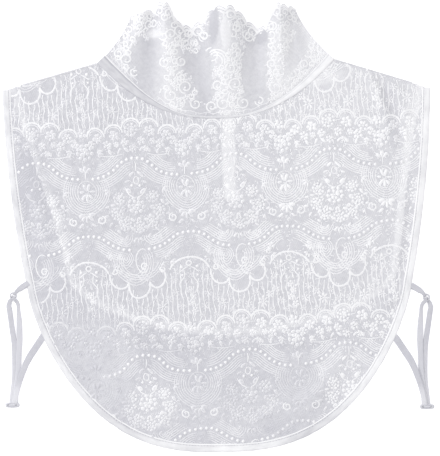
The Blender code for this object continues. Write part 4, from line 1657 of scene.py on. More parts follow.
def enter(pieces: list[Piece], node: str, **cut: object) -> None:
    """Args:
        pieces: the sheet, and then the pieces that are sewn on it.
        node: the CAD node.
        cut: its flat size, how it is held, what it rests on and its flat area; not used.
    """
    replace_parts(pieces[0], node)
    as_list(pieces[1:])


@dataclass
class Strip:
    """A folded strip of satin, carried along a path with a soft, uneven, stitched section.

    The section is a low arch across the strip, with a groove where it is stitched; its height
    and width change slowly along the path as puckers. The path is the strip's middle in the
    plane, with a width at each point, and the lift is the height of what it lies on.
    """

    path: Array
    widths: Number
    lift: Plan
    thickness: float = CUT.binding_thickness
    stitched: tuple[float, ...] = (0.5,)
    groove: float = 0.42 * MM
    slope: float = 0.0
    pucker: float = 0.1
    fullness_and_painted_light: Number = 0.0
    stitch: float = 2.7 * MM
    stitch_gap: float = 0.9 * MM
    top_steps: int = 17
    under_steps: int = 5
    under_reach: float = 0.94
    underside: float = 0.02 * MM
    least: float = 0.25 * MM
    groove_width: float = 0.1
    groove_shade: float = 0.4
    width_pucker: float = 0.25
    stitch_points: int = 6
    stitch_white: float = 0.6
    stitch_sunk: float = 0.05 * MM

    def height(self, across: Array) -> Array:
        """Height of the section at a place across, from -1 on the right to 1 on the left."""
        arch = 0.42 + 0.58 * (1.0 - np.abs(across) ** 4) ** 0.5
        height = self.thickness * arch + self.slope * across
        for place in self.stitched:
            height = height - self.groove * bell(across, place, self.groove_width)
        return height

    def body(self) -> Mould:
        """The strip: its section carried along the path, with painted shade in its grooves, a whiter line
        near its inner rim, a dark line along its inner half and a greyer outer edge.
        """
        aside = left_of(self.path)
        back = np.linspace(self.under_reach, -self.under_reach, self.under_steps)
        across = np.concatenate([np.linspace(-1.0, 1.0, self.top_steps), back])
        top = np.arange(len(across)) < self.top_steps
        gone = gone_along(self.path)
        swell = np.sin(gone / (3.1 * MM)) * np.sin(gone / (17 * MM) + 1.0)
        swell = swell + 0.7 * np.sin(gone / (1.9 * MM) + 2.0 * np.sin(gone / (23 * MM)))
        swelling = 1.0 + self.width_pucker * self.pucker * swell
        half = np.broadcast_to(self.widths, len(gone)) / 2 * swelling
        offset = across * half[:, None]
        plan = self.path[:, None] + aside[:, None] * offset[..., None]
        puff = 1.0 + self.pucker * (swell[:, None] * np.where(across < 0.6, 1.0, 0.4))
        height = np.where(top, self.height(across) * puff, self.underside + 0.0 * puff)
        height = np.maximum(height, np.where(top, self.least, 0.0))
        maps = np.stack(np.broadcast_arrays(gone[:, None], offset), axis=-1)
        # A whiter line near the inner rim; a dark line at 0.55 of the half width, painted shade beside
        # the stitch groove on the bindings; a greyer outer edge.
        rims = 1.7 * bell(across, 0.82, 0.13) - bell(across, 0.55, 0.1)
        rims = rims - 0.35 * eased((-across - 0.7) / 0.2)
        white = np.broadcast_to(self.fullness_and_painted_light, len(gone))[:, None] + rims
        # Painted shade in each stitch groove.
        for place in self.stitched:
            white = white - self.groove_shade * bell(across, place, self.groove_width)
        mould = Mould()
        mould.sweep(raised(plan, height + self.lift(plan))[None], maps[None], white[None])
        return mould

    def stitches(self) -> Mould:
        """A row of short stitches in each groove of the strip."""
        mould = Mould()
        aside = left_of(self.path)
        half = np.broadcast_to(self.widths, len(self.path))[:, None] / 2
        for place in self.stitched:
            row = self.path + aside * place * half
            count = max(int(length_of(row) / self.stitch), 2)
            line = evenly(row, self.stitch_points * count + 1)
            reach = self.stitch_points * (1.0 - self.stitch_gap / self.stitch)
            at = self.stitch_points * np.arange(count)[:, None] + np.linspace(0.0, reach, 4)
            spots = np.stack([np.interp(at, np.arange(len(line)), line[:, k]) for k in (0, 1)], -1)
            rise = float(self.height(np.array([place]))[0]) - self.stitch_sunk
            points = raised(spots, self.lift(spots) + rise)
            mould.upright(points, Thread.FINE, self.stitch_white)
        return mould

    def pieces(self, name: str, dress: "Wardrobe") -> list[Piece]:
        """Builds the strip, and its stitches if it has any.

        Args:
            name: the strip's name.
            dress: the materials.

        Returns:
            One piece or two.
        """
        made = [self.body().piece(name, dress.satin, Slot.SATIN)]
        if self.stitched:
            made.append(self.stitches().piece(f"{name}_stitches", dress.stitch, Slot.SATIN))
        return made


@dataclass(frozen=True)
class Wardrobe:
    """Every material, made once."""

    front_net: Material
    back_net: Material
    collar_net: Material
    thread: Material
    bloom: Material
    stitch: Material
    satin: Material
    elastic: Material
    moulded: Material

    @classmethod
    def made(cls) -> "Wardrobe":
        """Makes every material from its finish."""
        return cls(
            # Each net's thin colour is painted shade, lighter for the back bib and greyer for the collar.
            front_net=NetFinish("front_net").material(),
            back_net=NetFinish("back_net", thin=(0.72, 0.72, 0.76)).material(),
            collar_net=NetFinish("collar_net", thin=(0.62, 0.62, 0.66), hole=0.6).material(),
            thread=ThreadFinish("embroidery_thread").material(),
            bloom=ThreadFinish("satin_stitch", pitch=0.5 * MM, turn=0.1).material(),
            stitch=ThreadFinish("sewing_thread", plain=(0.8, 0.8, 0.83)).material(),
            satin=SatinFinish("bias_satin").material(),
            elastic=ElasticFinish("woven_elastic").material(),
            moulded=MouldedFinish("milky_plastic").material(),
        )


@dataclass
class Bib:
    """What both bibs share: net with lace laid on it, and a binding round the sides and hem."""

    name: str
    outline: Outline
    low: float
    net: float
    ground: BibGround
    laying: Laying
    seed: int
    hem_steps: int
    rows: int
    edge_steps: tuple[int, int]
    tucked: float = 2.0 * MM
    pitch: float = 2.5 * MM

    @property
    def inset(self) -> float:
        """How far the net's edge lies inside the bib's."""
        return CUT.binding_width - self.tucked

    def grids(self) -> list[Array]:
        """The net's plan, as one grid or two."""
        raise NotImplementedError

    def lay(self, white: Plan, dress: Wardrobe, **cut: object) -> None:
        """Builds the net and its lace.

        Args:
            white: how white the net looks.
            dress: the materials.
            cut: the sheet's flat size, area and what it rests on.
        """
        mould = Mould()
        for plan in self.grids():
            under = raised(plan, self.ground.relief.at(plan) + self.low)
            mould.wall(under + (0.0, 0.0, self.net), under, plan, white(plan))
        material = dress.front_net if self.name == "front" else dress.back_net
        net = mould.piece(f"{self.name}_net", material, Slot.LACE)
        repeat = self.laying.repeat
        work = Embroidery(
            f"{self.name}_lace", self.ground, dress.thread, dress.bloom, repeat.unit / MM
        )
        lace = work.spread(repeat.chart(self.seed), self.laying.starts(), self.laying.place)
        enter([net, *lace], f"{self.name}_bib", held="laid", **cut)

    def bind(self, level: Plan, white: Plan, dress: Wardrobe) -> None:
        """Builds the binding, whose stitch groove is on its inner side.

        Args:
            level: height of what the binding lies on.
            white: how white it looks.
            dress: the materials.
        """
        edge = self.outline.edge(*self.edge_steps)
        edge = evenly(edge, int(length_of(edge) / self.pitch))
        path = edge + left_of(edge) * CUT.binding_width / 2
        long = length_of(edge)
        strip = Strip(path, CUT.binding_width, level, fullness_and_painted_light=white(path))
        enter(
            strip.pieces(f"{self.name}_binding_strip", dress), f"{self.name}_binding",
            flat=(0.010, long), held="folded", rests_on=[f"{self.name}_net"], area=0.0091 * long,
        )


@dataclass
class FrontBib(Bib):
    """The front bib: net and lace over creases, with its binding round sides and hem."""

    name: str = "front"
    outline: Outline = CUT.front
    low: float = 0.5 * MM
    net: float = 0.35 * MM
    ground: BibGround = BibGround(FRONT_RELIEF, BEYOND_FRONT, CUT.front_dip, low + net, lace_white)
    laying: Laying = Laying()
    seed: int = 11
    hem_steps: int = 84
    rows: int = 120
    edge_steps: tuple[int, int] = (40, 90)

    def grids(self) -> list[Array]:
        """The net's plan as a grid: straight lines from its top edge down to its hem.

        A row of points lies along the neck and shoulders, another round the hem from corner
        to corner, and each grid point divides the line between its two ends by a share. Then
        the sides' bow widens it.
        """
        edge = CUT.front.edge(0, self.hem_steps)
        inner = edge + self.inset * left_of(edge)
        columns = len(inner)
        shoulder = CUT.front.shoulder_half - self.inset
        stations = np.array([0.0, 0.2, 0.8, 1.0]) * (columns - 1)
        places = [-shoulder, -CUT.neck_half, CUT.neck_half, shoulder]
        across = np.interp(np.arange(columns), stations, places)
        top = np.stack([across, CUT.top(across, CUT.front_dip) + self.tucked / 2], axis=1)
        corner = np.array([CUT.front.corner_half - self.inset, CUT.front.corner_y])
        inner[0], inner[-1] = corner * (-1, 1), corner
        down = np.linspace(0.0, 1.0, self.rows)[:, None, None]
        plan = (1.0 - down) * top + down * inner
        plan[..., 0] *= 1.0 + CUT.front.side_bow(plan[..., 1]) / np.abs(plan[:, :1, 0])
        return [plan]

    def binding_white(self, path: Array) -> Array:
        """How white the binding is along its way: uneven, whiter to the right, with painted shadow on the
        hem at the bottom right and a greyer patch at the bottom left.
        """
        x, y = path[:, 0], path[:, 1]
        # Painted shadow on the hem at the bottom right, and a smaller grey patch at the bottom left.
        grey = bell(x, 0.084, 0.03) * bell(y, -0.184, 0.024)
        grey = grey + 0.4 * bell(x, -0.104, 0.016) * bell(y, -0.168, 0.018)
        patches = 0.16 * np.sin(130 * x + 95 * y + 1.0) + 0.12 * np.sin(210 * y - 60 * x)
        hem = 0.25 * bell(x, -0.01, 0.06) * (y < -0.15)
        return 0.5 + 0.5 * eased((x + 0.05) / 0.2) + hem + patches - 0.9 * grey

    def build(self, dress: Wardrobe) -> None:
        """Builds the net, its lace and its binding."""
        self.lay(net_white, dress, flat=(0.382, 0.355), rests_on=["back_net"], area=0.106)
        self.bind(front_lift, self.binding_white, dress)


@dataclass
class BackBib(Bib):
    """The back bib: flat net and lace, slit for the placket, with its own binding."""

    name: str = "back"
    outline: Outline = CUT.back
    low: float = 0.1 * MM
    net: float = 0.3 * MM
    ground: BibGround = BibGround(BACK_RELIEF, BEYOND_BACK, CUT.back_dip, low + net, nothing, True)
    laying: Laying = Laying((38 * MM, 96 * MM), (-1.0, 0.012), (0.01, -1.0), (0.0, 0.0))
    seed: int = 23
    hem_steps: int = 50
    rows: int = 70
    edge_steps: tuple[int, int] = (40, 60)
    white: float = 0.4
    placket_ends: float = 0.72
    placket_rows: int = 44
    placket_round: float = 2 * MM
    placket_thickness: float = 1.3 * MM
    placket_stitched: tuple = (-0.78, 0.78)
    placket_groove: float = 0.3 * MM

    def half(self, side: int) -> Array:
        """One side of the net as a grid, from the slit out to the edge.

        Rows go down from the neck and shoulder to the hem, and a point of a row divides the
        way from the placket's side, or from under its foot, to the bib's edge.

        Args:
            side: -1 for the left and 1 for the right.

        Returns:
            The grid in the plane.
        """
        edge = CUT.back.edge(self.edge_steps[0], self.hem_steps)
        edge = edge + self.inset * left_of(edge)
        middle = np.abs(edge[:, 0] - CUT.placket_x).argmin()
        outer = evenly(edge[: middle + 1] if side < 0 else edge[middle:][::-1], self.rows)
        slit = CUT.placket_x + side * (CUT.placket_width / 2 - self.tucked)
        inner_x = np.full(self.rows, slit)
        inner_x[-1] = outer[-1, 0] + side * 0.5 * MM
        top = CUT.neck_line(slit, CUT.back_dip)
        inner_y = np.linspace(top, outer[-1, 1] + 0.4 * MM, self.rows)
        inner = np.stack([inner_x, inner_y], axis=1)
        share = np.linspace(0.0, 1.0, self.rows)
        grid = inner[:, None] + (outer - inner)[:, None] * share[None, :, None]
        neck_x = slit + (outer[0, 0] - slit) * share
        roof = CUT.top(neck_x, CUT.back_dip) + self.tucked / 2
        grid[..., 1] += (1.0 - share)[:, None] ** 3 * (roof - grid[0, :, 1])
        return grid if side > 0 else grid[:, ::-1]

    def grids(self) -> list[Array]:
        """Both sides of the net."""
        return [self.half(side) for side in BOTH]

    def build(self, dress: Wardrobe) -> None:
        """Builds the net, the lace, the binding and the placket."""
        self.lay(nothing, dress, flat=(0.375, 0.252), rests_on=["front_net"], area=0.074)
        self.bind(BACK_RELIEF.at, lambda path: nothing(path) + self.white, dress)
        self.placket(dress)

    def placket(self, dress: Wardrobe) -> None:
        """Builds the strip over the slit, narrower at its foot by a quarter circle."""
        top = float(CUT.neck_line(CUT.placket_x, CUT.back_dip))
        y = np.linspace(CUT.placket_foot, top, self.placket_rows)
        path = np.stack([np.full_like(y, CUT.placket_x), y], axis=1)
        round_end = np.clip((y - CUT.placket_foot) / self.placket_round, 0.0, 1.0)
        fuller = (1.0 - self.placket_ends) * np.sqrt(round_end * (2.0 - round_end))
        widths = CUT.placket_width * (self.placket_ends + fuller)
        strip = Strip(
            path, widths, BACK_RELIEF.at, self.placket_thickness, self.placket_stitched,
            self.placket_groove,
        )
        enter(
            strip.pieces("placket_strip", dress), "placket",
            flat=(0.0125, 0.107), held="folded", rests_on=["back_net"],
        )


@dataclass
class NeckTrims:
    """The neck band under the collar, and the two shoulder seams."""

    band_thickness: float = 1.5 * MM
    band_slope: float = 0.12 * MM
    band_points: int = 130
    band_stitched: tuple = (0.82,)
    band_groove: float = 0.2 * MM
    band_pucker: float = 0.06
    cord_aside: float = 0.36
    cord_height: float = 0.85 * MM
    cord_white: float = 1.5
    seam_points: int = 40
    seam_pucker: float = 0.08

    def lift(self, plan: Array) -> Array:
        """Height of what the band lies on, at points of the plane."""
        return front_lift(plan) + self.band_slope

    def cord(self, path: Array, dress: Wardrobe) -> Piece:
        """Builds the white cord along the collar's seam."""
        mould = Mould()
        points = raised(path, self.lift(path) + self.cord_height)
        mould.upright(points[None], Thread.CURL, self.cord_white)
        return mould.piece("neck_band_cord", dress.stitch, Slot.SATIN)

    def build(self, dress: Wardrobe) -> None:
        """Builds the band, which leans down into the neck, and the seams."""
        x = np.linspace(-CUT.neck_half + CUT.gap, CUT.neck_half - CUT.gap, self.band_points)
        line, into = CUT.neck_frame(x)
        widths = CUT.band_width(x)
        path = line + into * (CUT.gap + widths / 2)[:, None]
        # The band is painted darker at the left and lighter at the right: painted shade and painted
        # light.
        white = -0.15 + 1.15 * eased((x / CUT.neck_half + 0.3) / 1.1)
        strip = Strip(
            path, widths, self.lift, self.band_thickness, self.band_stitched, self.band_groove,
            -self.band_slope, self.band_pucker, white,
        )
        pieces = strip.pieces("neck_band_strip", dress)
        pieces.append(self.cord(path + into * (self.cord_aside * widths)[:, None], dress))
        enter(
            pieces, "neck_band",
            flat=(0.010, 0.245), held="folded", rests_on=["front_net"], area=0.0018,
        )
        for name, sign in zip(("left", "right"), BOTH):
            x = sign * np.linspace(CUT.neck_half, CUT.seam_end, self.seam_points)
            path = np.stack([x, CUT.shoulder_line(x) - CUT.seam_width / 2], axis=1)
            seam = Strip(
                path, CUT.seam_width, BACK_RELIEF.at, CUT.seam_height, (), pucker=self.seam_pucker
            )
            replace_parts(seam.pieces(f"shoulder_ridge_{name}", dress)[0], f"shoulder_seam_{name}")


@dataclass
class Collar:
    """The fluted collar: scalloped net with a border of scrolls, and the back under it."""

    net: float = 0.4 * MM
    steps: int = 14
    rows: int = 44
    unit: float = 1.0 * MM
    stretches: tuple = (("left", 0.4, 4.785), ("right", 5.215, 8.6))
    nest_drop: float = 2.4 * MM
    nest_top: float = 0.9
    nest_rows: int = 20
    nest_columns: int = 70
    opening: float = 5.0
    opening_half: float = 0.2
    placket_columns: int = 9
    seed: int = 31
    foot_drop: float = 0.016
    border_start: float = 0.72
    border_ease: float = 0.16
    border_white: float = 0.12
    edge_lines: tuple = ((0.022, Thread.OUTLINE), (0.05, Thread.STEM))
    edge_steps: int = 11

    # Scrolls near the neck: place, rise, radius in millimetres, and the way they curl
    foot_scrolls: tuple = (
        (0.45, 0.15, 3.2, 1), (1.03, 0.16, 4.6, -1), (1.5, 0.1, 3.2, 1), (2.55, 0.1, 3.6, -1),
        (3.07, 0.13, 5.0, 1), (3.52, 0.27, 5.2, -1), (3.78, 0.13, 4.2, 1), (4.3, 0.1, 4.2, -1),
        (4.75, 0.12, 5.0, 1), (5.24, 0.29, 5.2, -1), (5.5, 0.12, 5.0, 1), (6.1, 0.1, 3.8, -1),
        (6.72, 0.14, 5.0, 1), (7.12, 0.1, 3.8, -1), (7.5, 0.16, 4.4, 1), (8.1, 0.14, 3.6, -1),
        (8.45, 0.22, 3.6, 1), (8.75, 0.36, 3.2, -1),
    )
    # Upper scrolls away from the edge
    field_scrolls: tuple = (
        (4.5, 0.62, 6.0, 1), (3.16, 0.72, 4.2, -1), (3.45, 0.52, 4.0, 1), (5.2, 0.76, 4.2, -1),
        (6.6, 0.76, 4.2, 1), (1.7, 0.78, 3.6, -1), (5.1, 0.44, 4.2, 1), (6.62, 0.42, 3.6, -1),
        (2.82, 0.42, 4.0, 1), (7.4, 0.36, 3.8, 1), (8.7, 0.56, 3.0, 1), (8.8, 0.76, 2.8, -1),
        (2.78, 0.68, 3.8, 1), (4.6, 0.3, 3.8, -1), (7.3, 0.62, 3.8, -1), (0.3, 0.6, 3.4, -1),
        (3.7, 0.84, 4.4, 1), (4.3, 0.84, 4.0, -1), (5.75, 0.88, 3.8, 1), (6.3, 0.86, 3.8, -1),
    )
    thicket_pitch: float = 4.6

    @property
    def scallops(self) -> int:
        """How many scallops the top edge has."""
        return int(column(FLUTES.table, "scallops")[-1])

    def plan(self, place: Number, rise: Number) -> Array:
        """Points of the plane at places and rises, in chart units of a millimetre."""
        return FLUTES.point(np.asarray(place, float), np.asarray(rise, float))[..., :2] / self.unit

    def chart(self) -> Motifs:
        """Draws the border lace: edge lines, a scroll in each scallop, columns and foot scrolls."""
        motifs = Motifs(self.seed)
        count = self.scallops
        place = FLUTES.scallop_place(np.linspace(0.02, count - 0.02, count * self.edge_steps))
        for drop, thread in self.edge_lines:
            motifs.line(thread, self.plan(place, FLUTES.edge_rise(place) - drop))
        for number in range(count):
            middle = FLUTES.scallop_place(np.array(number + 0.5))
            rise = FLUTES.edge_rise(middle)
            ends = self.plan(FLUTES.scallop_place(np.array([number, number + 1.0])), 1.0)
            radius = float(np.clip(0.36 * np.linalg.norm(ends[1] - ends[0]), 2.6, 4.2))
            hand = 1.0 if number % 2 else -1.0
            motifs.scroll(*self.plan(middle, rise - 0.1), radius, -np.pi / 2, hand)
            lower = FLUTES.scallop_place(min(number + 1.0, count - 0.4))
            motifs.scroll(*self.plan(lower, rise - 0.17), 0.85 * radius, np.pi / 2, -hand)
            motifs.petal(*self.plan(middle, rise - 0.15), 1.5, 0.8, hand)
        taken = []
        for place, rise, radius, hand in (*self.foot_scrolls, *self.field_scrolls):
            x, y = self.plan(place, rise)
            motifs.scroll(x, y, radius, hand * np.pi / 2, hand)
            motifs.petals_round(x, y, 1.35 * radius, 1.6, 0.9, motifs.chance.uniform(0.0, 6.0), 0.45)
            taken.append((x, y, radius))
        fan = arc(np.linspace(-0.5, 2.1, 15)) * np.array([5.5, 8.0, 10.5])[:, None, None]
        motifs.line(Thread.CURL, (0.5, 149.5) + fan)
        taken.append((0.5, 152.0, 8.0))
        self.draw_thickets(motifs, np.array(taken))
        self.draw_foot_line(motifs)
        return motifs

    def draw_thickets(self, motifs: Motifs, taken: Array) -> None:
        """Fills each oval with small scrolls, flowers and leaves, but not over a large scroll.

        They stand on a grid of triangles, each moved at random.

        Args:
            motifs: takes the lace.
            taken: x, y and reach of the large scrolls.
        """
        step = self.thicket_pitch
        down, across = np.mgrid[95:205 : 0.866 * step, -105:105:step]
        across = across + (np.arange(len(down)) % 2)[:, None] * step / 2
        spots = np.stack([across.ravel(), down.ravel()], axis=1)
        spots = spots + motifs.chance.uniform(-0.2, 0.2, spots.shape) * step
        clear = np.linalg.norm(spots[:, None] - taken[:, :2], axis=2) > taken[:, 2] + 1.0
        kept = spots[THICKETS.holds(self.laid(spots)) & clear.all(axis=1)]
        for number, (x, y) in enumerate(kept):
            turn = motifs.chance.uniform(0.0, 2 * np.pi)
            if number % 3 == 0:
                motifs.flower(x, y, 2.9)
            elif number % 3 == 1:
                motifs.scroll(x, y, 2.3, turn, 1.0 if number % 2 else -1.0)
            else:
                motifs.sprig(x, y, 3.3, turn, 3)

    def draw_foot_line(self, motifs: Motifs) -> None:
        """A fine wavy line and small leaves just above the seam."""
        place = np.linspace(0.1, FLUTES.last - 0.1, 140)
        wavy = 0.035 + 0.008 * np.sin(2 * np.pi * 2.0 * place)
        motifs.line(Thread.FINE, self.plan(place, wavy))
        spots = self.plan(np.linspace(0.3, 8.7, 30), 0.02)
        motifs.petal(spots[:, 0], spots[:, 1], 1.3, 0.8, 1.2)

    def laid(self, chart: Array) -> Array:
        """Chart points in metres."""
        return chart * self.unit

    def cloth(self, name: str, place: Array, rise: Array, drop: float, dress: Wardrobe) -> Piece:
        """Builds one stretch of the collar's net on a grid of places and rises.

        Args:
            name: the stretch's name.
            place: places on its grid.
            rise: rises on its grid.
            drop: how far it lies below the front stretch.
            dress: the materials.

        Returns:
            The net.
        """
        middle = FLUTES.lowered(place, rise, drop)
        out = FLUTES.normal(place, rise)
        upper, under = middle + out * self.net / 2, middle - out * self.net / 2
        step_down = np.diff(upper, axis=0, prepend=upper[:1])
        step_across = np.diff(upper, axis=1, prepend=upper[:, :1])
        down = np.cumsum(np.linalg.norm(step_down, axis=-1), axis=0)
        across = np.cumsum(np.linalg.norm(step_across, axis=-1), axis=1)
        maps = np.stack([across.mean(0) + 0.0 * down, down], axis=-1)
        high = eased((rise - self.border_start) / self.border_ease)
        # Painted light on the tall flutes and painted shade in the troughs between them, halved near the
        # top edge; the plain zones add painted shade and light on the two faces of the centre fold, and
        # close lace makes the net whiter.
        white = FLUTES.read("white", place, True) * (1.0 - 0.5 * high) + self.border_white * high
        white = white + PLAIN_ZONES.tone(upper[..., :2]) + 0.25 * THICKETS.tone(upper[..., :2])
        mould = Mould()
        mould.wall(upper, under, maps, white)
        return mould.piece(name, dress.collar_net, Slot.LACE)

    def stretch(
        self, names: str, node: str, grid: tuple, ground: CollarGround, motifs: Motifs,
        dress: Wardrobe, **cut: object,
    ) -> None:
        """Builds one stretch of the collar, with its lace.

        Args:
            names: the names of its pieces, with {} for net or lace.
            node: the CAD node that it stands for.
            grid: its places and rises.
            ground: what its lace lies on.
            motifs: the lace.
            dress: the materials.
            cut: the sheet's flat size, area and what it rests on.
        """
        net = self.cloth(names.format("net"), *grid, ground.drop, dress)
        work = Embroidery(names.format("lace"), ground, dress.thread, dress.bloom)
        lace = work.spread(motifs, np.zeros((1, 2)), self.laid)
        enter([net, *lace], node, held="gathered", **cut)

    def build(self, dress: Wardrobe) -> None:
        """Builds the front stretch with its lace, the back stretches and their placket."""
        motifs = self.chart()
        count = self.scallops
        place = FLUTES.scallop_place(np.linspace(0.0, count, count * self.steps + 1))
        place, share = np.broadcast_arrays(place, np.linspace(1.0, 0.0, self.rows)[:, None])
        rise = share * FLUTES.edge_rise(place) - self.foot_drop * (1.0 - share)
        ground = CollarGround(0.02, FLUTES.last - 0.02, 0.0, self.net / 2)
        self.stretch(
            "collar_{}", "collar_front", (place, rise), ground, motifs, dress,
            flat=(0.25, 0.1), rests_on=["neck_band_strip"], area=0.0155,
        )
        for name, start, end in self.stretches:
            ground = CollarGround(start, end, self.nest_drop, self.net / 2, back=True)
            self.stretch(
                "collar_back_{}_" + name, f"collar_back_{name}",
                self.nest(start, end, self.nest_columns), ground, motifs, dress,
                flat=(0.13, 0.08), rests_on=["back_net"], area=0.005,
            )
        self.placket(dress)

    def nest_foot(self, place: Array) -> Array:
        """The rise at which the back stretch meets the back bib's neck edge."""
        rise = np.linspace(-0.4, 0.8, 121)[:, None]
        points = FLUTES.point(place, rise)
        clear = points[..., 1] - CUT.neck_line(points[..., 0], CUT.back_dip) - CUT.gap
        below = np.clip((clear < 0).sum(0), 1, len(rise) - 1)
        at = np.arange(len(place))
        low, high = clear[below - 1, at], clear[below, at]
        share = np.clip(-low / np.where(high == low, 1.0, high - low), 0.0, 1.0)
        return rise[below - 1, 0] + share * (rise[below, 0] - rise[below - 1, 0])

    def nest(self, start: float, end: float, columns: int) -> tuple[Array, Array]:
        """A grid of places and rises at the back, from its top down to the bib's neck edge."""
        place = np.linspace(start, end, columns)
        foot = self.nest_foot(place)
        rise = foot + (self.nest_top - foot) * np.linspace(1.0, 0.0, self.nest_rows)[:, None]
        return np.broadcast_to(place, rise.shape), rise

    def placket(self, dress: Wardrobe) -> None:
        """Builds the strip between the two back stretches, bulging in half a wave across."""
        columns = self.placket_columns
        ends = self.opening - self.opening_half, self.opening + self.opening_half
        place, rise = self.nest(*ends, columns)
        middle = FLUTES.lowered(place, rise, self.nest_drop, 0.6 * MM)
        half = np.array([0.0, 0.0, 0.3 * MM])
        wave = 0.35 * MM * np.sin(np.linspace(0.0, np.pi, columns))[:, None]
        bulge = wave * np.array([0.0, 0.0, 1.0])
        mould = Mould()
        mould.wall(middle + bulge + half, middle - half, middle[..., :2], 0.5 + 0.0 * rise)
        strip = mould.piece("collar_placket_strip", dress.satin, Slot.SATIN)
        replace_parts(strip, "collar_placket")


@dataclass(frozen=True)
class Side:
    """One side's straps, which lie a little higher or lower and lean a little."""

    name: str
    sign: float
    raised: float
    lean: float


